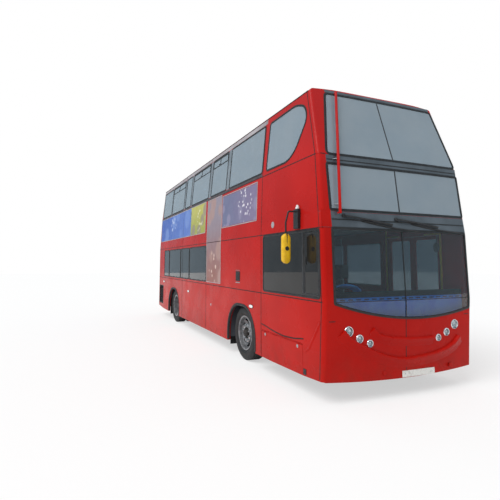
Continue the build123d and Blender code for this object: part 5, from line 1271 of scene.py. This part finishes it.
LOWER_SEATS = (
    (FLOOR, -1, (-0.340, -1.090, -1.840)), (FLOOR, 1, (-1.840, 1.175)),
    (BOX_DECK, -1, (-2.700, -3.450)), (BOX_DECK, 1, (-2.700, -3.450)),
    (REAR_FLOOR, -1, (-4.135,)), (REAR_FLOOR, 1, (-4.135,)),
)
UPPER_SEATS = (
    (UPPER_FLOOR, -1, (3.560, 0.240, -0.510, -1.260, -2.010, -2.760, -3.510, -4.260)),
    (UPPER_FLOOR, 1, (3.560, 2.810, 2.060, 1.310, 0.560, -0.190, -0.940, -1.690, -2.440, -3.190, -3.940)),
)
shells = bmesh.new()
rails = bmesh.new()
for name, rows, mid_y in (
    ("lower_seats", LOWER_SEATS, SEAT_MID_Y), ("upper_seats", UPPER_SEATS, UPPER_SEAT_MID_Y)
):
    bm = bmesh.new()
    for base_z, side, backs in rows:
        for back_x in backs:
            bench(bm, shells, rails, back_x, base_z, side * mid_y, (-PLACE, PLACE))
    made = piece(f"{name}_pads", bm, CLOTH, slot="seat_fabric", crease_deg=60)
    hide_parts(name)
bm = bmesh.new()
bench(bm, shells, rails, 3.720, 0.620, -0.740, (0.0,))
made = piece("driver_seat_pads", bm, CLOTH, slot="seat_fabric", crease_deg=60)
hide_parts("driver_seat")
piece("seat_shells", shells, BLUE_SHELL, slot="blue_plastic", bevel=0.003)
piece("seat_handles", rails, YELLOW_COAT, slot="rail_coat")

# Destination box: housing, blank display and shelf behind the sign glass
bm = bmesh.new()
box(bm, (4.62, -0.82, 2.455), (4.83, 1.05, 2.475), paint=1)
box(bm, (4.62, -0.82, 2.925), (4.80, 1.05, 2.955))
box(bm, (4.655, -0.80, 2.505), (4.700, 1.02, 2.895), paint=2)
box(bm, (4.60, -0.84, 2.455), (4.80, -0.80, 2.955))
box(bm, (4.60, 1.02, 2.455), (4.80, 1.06, 2.955))
piece("destination_box", bm, [BLACK_ABS, LAMINATE, DISPLAY], bevel=0.003)
# Valance between the sign and the upper screen, with the front rail of the upper deck
boxes("front_valance", WAIST_FILM, [((4.66, -1.10, 3.06), (4.79, 1.10, 3.15))], bevel=0.01)
bm = bmesh.new()
RAIL = ((4.55, -1.05), (4.60, -0.6), (4.61, 0.0), (4.60, 0.6), (4.55, 1.05))
RAIL_Z, RAIL_RADIUS = 3.42, 0.017
tube(bm, [(x, y, RAIL_Z) for x, y in RAIL], RAIL_RADIUS, 12)
for y in (-0.6, 0.6):
    tube(bm, [(4.60, y, UPPER_FLOOR), (4.60, y, RAIL_Z)], RAIL_RADIUS, 12)
piece("upper_front_rail", bm, YELLOW_COAT, slot="rail_coat")

# The lower ceiling, and the lamps of both decks
boxes("lower_ceiling", LINING, (
    ((-4.75, -1.05, 2.318), (1.10, 1.10, 2.336)),
    ((1.10, -0.56, 2.318), (4.75, 1.10, 2.336)),
    ((2.98, -1.10, 2.318), (4.75, -0.56, 2.336)),
))
bm = bmesh.new()
for base, top, reach in ((2.295, 2.317, 4.5), (4.135, 4.168, 4.3)):
    for y in (-0.42, 0.42):
        x = -reach
        while x < (1.0 if top < 3 and y < 0 else 4.0):
            box(bm, (x, y - 0.06, base), (x + 1.0, y + 0.06, top))
            x += 1.12
piece("saloon_lamps", bm, WHITE_ACRYLIC, bevel=0.008)

# Cab: vents, instrument cowl, ticket machine, interior mirror, card and glass screen
vents = [-1.08 + number * 0.127 for number in range(18)]
boxes("dash_vents", BLACK_ABS, [((4.906, y, 1.258), (4.9135, y + 0.07, 1.274)) for y in vents])
bm = bmesh.new()
# Each corner of the hood's section: x, half width, foot height and rise
HOOD = (
    (4.60, 0.25, 1.335, 0.10), (4.745, 0.27, 1.335, 0.13), (4.745, 0.25, 1.330, 0.11),
    (4.60, 0.23, 1.330, 0.08),
)
rings = []
for t in [math.pi * k / 8 for k in range(9)]:
    rings.append([(x, -0.74 - half * math.cos(t), z + rise * math.sin(t)) for x, half, z, rise in HOOD])
skin(bm, rings)
box(bm, (4.60, -1.00, 1.18), (4.72, -0.48, 1.335))
piece("instrument_cowl", bm, BLUE_FASCIA, bevel=0.004, slot="blue_plastic")
bm = bmesh.new()
box(bm, (3.95, -0.345, 1.505), (4.12, -0.225, 1.72))
box(bm, (3.99, -0.40, 1.36), (4.08, -0.36, 1.52))
tube(bm, [(4.87, 0.80, 2.16), (4.84, 0.82, 2.06), (4.82, 0.844, 2.02)], 0.007)
oval = [(0.844 + 0.05 * math.cos(t), 1.975 + 0.075 * math.sin(t)) for t in turns(20)]
skin(bm, [[(x, y, z) for y, z in oval] for x in (4.80, 4.82)])
box(bm, (3.36, -0.98, 1.34), (3.45, -0.50, 1.44))
piece("cab_fittings", bm, BLACK_ABS, slot="black_plastic", bevel=0.004)
boxes("windscreen_card", WHITE_ACRYLIC, [((4.895, 0.30, 1.115), (4.898, 0.42, 1.19))], bevel=0.001)
boxes("cab_screen", SCREEN, (
    ((3.29, -1.15, 2.00), (3.30, -0.37, 2.31)), ((3.30, -0.352, 1.502), (4.12, -0.340, 2.10)),
))

# Doors: glazing rubbers and meeting-edge seals on each leaf
LEAF_FACE = 1.246
LEAF_Z = (0.372, 2.183)
LEAF_FRAME = 0.055
POST_AWAY = 0.600
EDGE_SEAL = 0.0016
DOORWAYS = (("front_door", 3.980), ("centre_door", 0.180))
for doorway, mid_x in DOORWAYS:
    for leaf, way in (("rear", -1), ("fore", 1)):
        body = f"{doorway}_panel_{leaf}"
        post_x = mid_x + way * POST_AWAY
        x0, x1 = sorted((post_x - way * 0.032, mid_x + way * 0.003))
        bm = bmesh.new()
        opening = rectangle(
            x0 + LEAF_FRAME, x1 - LEAF_FRAME, LEAF_Z[0] + LEAF_FRAME, LEAF_Z[1] - LEAF_FRAME
        )
        outline = rounded(opening, PANE_RADIUS)
        middle = Vector(((x0 + x1) / 2, (LEAF_Z[0] + LEAF_Z[1]) / 2))
        rings = []
        for across, out in ((0.012, -0.001), (0.012, 0.002), (-0.010, 0.002), (-0.010, -0.001)):
            ring = []
            for p in outline:
                away = p - middle
                grown = Vector((math.copysign(across, away.x), math.copysign(across, away.y)))
                ring.append(Vector((p.x + grown.x, LEAF_FACE + out, p.y + grown.y)))
            rings.append(ring)
        skin(bm, rings, loop=True)
        edge_x = mid_x + way * EDGE_SEAL
        near, far = sorted((edge_x, edge_x + way * EDGE_SEAL))
        box(bm, (near, LEAF_FACE - 0.030, LEAF_Z[0] + 0.01), (far, LEAF_FACE - 0.004, LEAF_Z[1] - 0.01))
        piece(f"{body}_rubbers", bm, SEAL, body, "black_plastic")

# Door buttons beside the doorways, step edges in yellow and bell pushes
BUTTON = ((-0.003, 0.0), (-0.003, 0.034), (0.006, 0.032), (0.008, 0.020), (0.010, 0.0))
bm = bmesh.new()
for x in (3.245, 0.915):
    turned(bm, on_wall("nearside", x, 1.50), (0, 1, 0), BUTTON, 24)
piece("door_buttons", bm, ANODISED)
bm = bmesh.new()
for _, mid_x in DOORWAYS:
    box(bm, (mid_x - 0.54, 1.130, FLOOR - 0.001), (mid_x + 0.54, 1.165, FLOOR + 0.0025))
RISE = (UPPER_FLOOR - FLOOR) / 8
for number in range(8):
    x = 0.620 + number * 0.290
    z = FLOOR + (number + 1) * RISE
    box(bm, (x, -1.19, z - 0.001), (x + 0.035, -0.625, z + 0.002))
box(bm, (-2.000, -0.56, REAR_FLOOR - 0.001), (-1.965, 0.56, REAR_FLOOR + 0.0025))
piece("step_edges", bm, YELLOW_COAT)
BELLS = (
    (1.040, 0.480, 1.45), (-0.700, 0.480, 1.45), (-1.400, -0.250, 1.45), (-1.950, 0.250, 1.60),
    (1.0, -0.235, 3.45), (-1.2, -0.235, 3.45), (-3.0, 0.235, 3.45),
)
boxes("bell_pushes", TAIL_RED, [
    ((x - 0.024, y - 0.026, z - 0.05), (x + 0.024, y + 0.026, z + 0.05)) for x, y, z in BELLS
], bevel=0.006)

# Roof: stiffening swages and two hatches
def roof_z(y):
    """Height of the roof's crown over a distance from its middle."""
    edge_y, edge_z, top_z = 1.118, 4.200, 4.250
    return top_z - (top_z - edge_z) * (y / edge_y) ** 2


bm = bmesh.new()
for number in range(11):
    x = -4.3 + number * 0.78
    rings = []
    for k in range(17):
        y = -0.98 + 1.96 * k / 16
        section = ((-0.035, -0.004), (-0.022, 0.004), (0.022, 0.004), (0.035, -0.004))
        rings.append([Vector((x + across, y, roof_z(y) + up)) for across, up in section])
    skin(bm, rings)
piece("roof_swages", bm, RED, slot="red_paint")
bm = bmesh.new()
for x in (-2.36, 1.54):
    outline = rounded(rectangle(x - 0.30, x + 0.30, -0.30, 0.30), 0.06)
    rings = []
    for share, up in ((1.04, -0.015), (1.04, 0.012), (1.0, 0.030), (0.9, 0.040), (0.5, 0.046)):
        rings.append([Vector((x + (p.x - x) * share, p.y * share, 4.245 + up)) for p in outline])
    skin(bm, rings)
piece("roof_hatches", bm, LINING)

# Rear: louvres and catches on the engine door, lamps, creases, number blind and exhaust
bm = bmesh.new()
for number in range(12):
    z = 0.62 + number * 0.040
    bead(bm, "rear", ((-0.72, z), (0.72, z)), 0.020, 0.010, arch=True)
bead(bm, "rear", rounded(rectangle(-0.76, 0.76, 0.585, 1.095), 0.03), 0.02, 0.008, closed=True)
piece("engine_louvres", bm, BLACK_ABS, body="engine_cover", slot="black_plastic")
boxes("engine_door_catches", ZINC, [
    ((-5.066, y - 0.05, 0.475), (-5.053, y + 0.05, 0.505)) for y in (-0.55, 0.55)
], body="engine_cover", bevel=0.003)
# Heights of the tail lamps and their finishes: amber, red and clear
REAR_LAMPS = ((1.180, 1), (1.050, 0), (0.920, 2))
REAR_LAMP_Y = 1.130
radius = 0.052
bm = bmesh.new()
for z, paint in REAR_LAMPS:
    for way in (-1, 1):
        middle = (TAIL_X, way * REAR_LAMP_Y, z)
        turned(bm, middle, (-1, 0, 0), (
            (-0.040, 0.0), (-0.040, radius - 0.001), (0.004, radius - 0.001), (0.012, radius * 0.92),
            (0.016, radius * 0.55), (0.017, 0.0),
        ), 36, paint=paint)
        turned(bm, middle, (-1, 0, 0), (
            (-0.002, radius), (0.006, radius + 0.001), (0.009, radius + 0.006), (0.002, radius + 0.009),
            (-0.002, radius + 0.009),
        ), 36, paint=3)
made = piece("tail_lamps", bm, [TAIL_RED, TAIL_AMBER, WHITE_ACRYLIC, SEAL], slot="rear_lamp_plastic")
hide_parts("rear_lamps")
bm = bmesh.new()
bead(bm, "rear", ((-1.17, 0.40), (1.17, 0.40)), 0.035, 0.012, arch=True)
for way in (-1, 1):
    bead(bm, "rear", ((way * 0.99, 0.46), (way * 0.99, 2.12)), 0.030, 0.007, arch=True)
piece("rear_creases", bm, RED, slot="red_paint")
bm = bmesh.new()
sheet_on_wall(bm, "rear", rectangle(-0.42, 0.42, 2.62, 2.90), 0.004, steps=(10, 4))
bead(bm, "rear", rounded(rectangle(-0.45, 0.45, 2.59, 2.93), 0.03), 0.03, 0.010, closed=True)
piece("rear_number_blind", bm, GLOSS_BLACK)
bm = bmesh.new()
TAILPIPE = ((0.0, 0.033), (0.055, 0.033), (0.055, 0.030), (0.0, 0.030))
turned(bm, (-5.00, -0.72, 0.345), (-1, 0, 0), TAILPIPE, 28)
piece("exhaust_tip", bm, HUB)

# Underside: air tanks, drive shaft and air bellows
bm = bmesh.new()
for y in (-0.86, 0.86):
    tube(bm, [(-0.95, y, 0.245), (-0.93, y, 0.245), (-0.25, y, 0.245), (-0.23, y, 0.245)], 0.058, 20)
tube(bm, [(-2.70, 0, 0.44), (-3.9, 0, 0.48)], 0.035, 14)
BELLOWS = ((0, 0.0), (0, 0.04), (0.03, 0.055), (0.06, 0.04), (0.07, 0.0))
for y in (0.60, -0.60):
    turned(bm, (FRONT_AXLE_X, y, 0.232), (0, 0, 1), BELLOWS, 24)
piece("underfloor_gear", bm, CHASSIS, slot="chassis_paint")

# Floor and backdrop, light and camera
floor_material, tree, bsdf, place = start("studio_floor")
fill(tree, bsdf, {"Base Color": linear("#FFFFFF"), "Roughness": 0.8})
seen = node(tree, "ShaderNodeLightPath")
glow = node(tree, "ShaderNodeEmission", {"Color": (1, 1, 1, 1), "Strength": 1.0})
pale = combine(tree, "MAXIMUM", seen.outputs["Is Camera Ray"], seen.outputs["Is Transmission Ray"])
half = combine(tree, "MULTIPLY", pale, 0.55)
shaders = {"Fac": half, 1: bsdf.outputs["BSDF"], 2: glow.outputs["Emission"]}
mixed = node(tree, "ShaderNodeMixShader", shaders)
tree.links.new(mixed.outputs["Shader"], tree.nodes["Material Output"].inputs["Surface"])
bm = bmesh.new()
box(bm, (-60, -60, -0.05), (60, 60, -0.0005))
mesh = bpy.data.meshes.new("studio_floor")
bm.to_mesh(mesh)
bm.free()
mesh.materials.append(floor_material)
floor = bpy.data.objects.new("studio_floor", mesh)
scene.collection.objects.link(floor)
floor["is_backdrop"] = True

world = bpy.data.worlds.new("studio")
scene.world = world
world.use_nodes = True
tree = world.node_tree
seen = node(tree, "ShaderNodeLightPath")
direct = combine(tree, "MAXIMUM", seen.outputs["Is Camera Ray"], seen.outputs["Is Transmission Ray"])
shown = combine(tree, "MAXIMUM", direct, seen.outputs["Is Glossy Ray"])
fill(tree, tree.nodes["Background"], {
    "Strength": ramp_range(tree, shown, 0, 1, 0.52, 1.0),
    "Color": blend_colour(tree, seen.outputs["Is Glossy Ray"], "#FFFFFF", "#A9B9C4"),
})

sun = bpy.data.lights.new("soft_key", "SUN")
sun.energy = 2.1
sun.angle = math.radians(40)
lamp = bpy.data.objects.new("soft_key", sun)
# Light comes from above on the offside, and a little from the front
lamp.rotation_euler = Vector((0.25, -0.60, 0.75)).to_track_quat("Z", "Y").to_euler()
scene.collection.objects.link(lamp)

scene.view_settings.view_transform = "Standard"
camera = bpy.data.objects.new("camera", bpy.data.cameras.new("camera"))
scene.collection.objects.link(camera)
# The camera's place and ways come from the body's straight seams in the photograph
camera_at = Vector((9.3713, -4.1622, 1.7405))
ahead = Vector((-0.9181, 0.3866, 0.0875)).normalized()
right = ahead.cross(Vector((0.0793, -0.0371, 0.9962))).normalized()
above = right.cross(ahead).normalized()
turn = Matrix((right, above, -ahead)).transposed()
camera.matrix_world = Matrix.Translation(camera_at) @ turn.to_4x4()
camera.data.lens = 29.84
camera.data.sensor_width = 36
camera.data.shift_x = 0.0113
camera.data.shift_y = -0.0471
camera.data.clip_end = 200
scene.camera = camera

low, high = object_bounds()
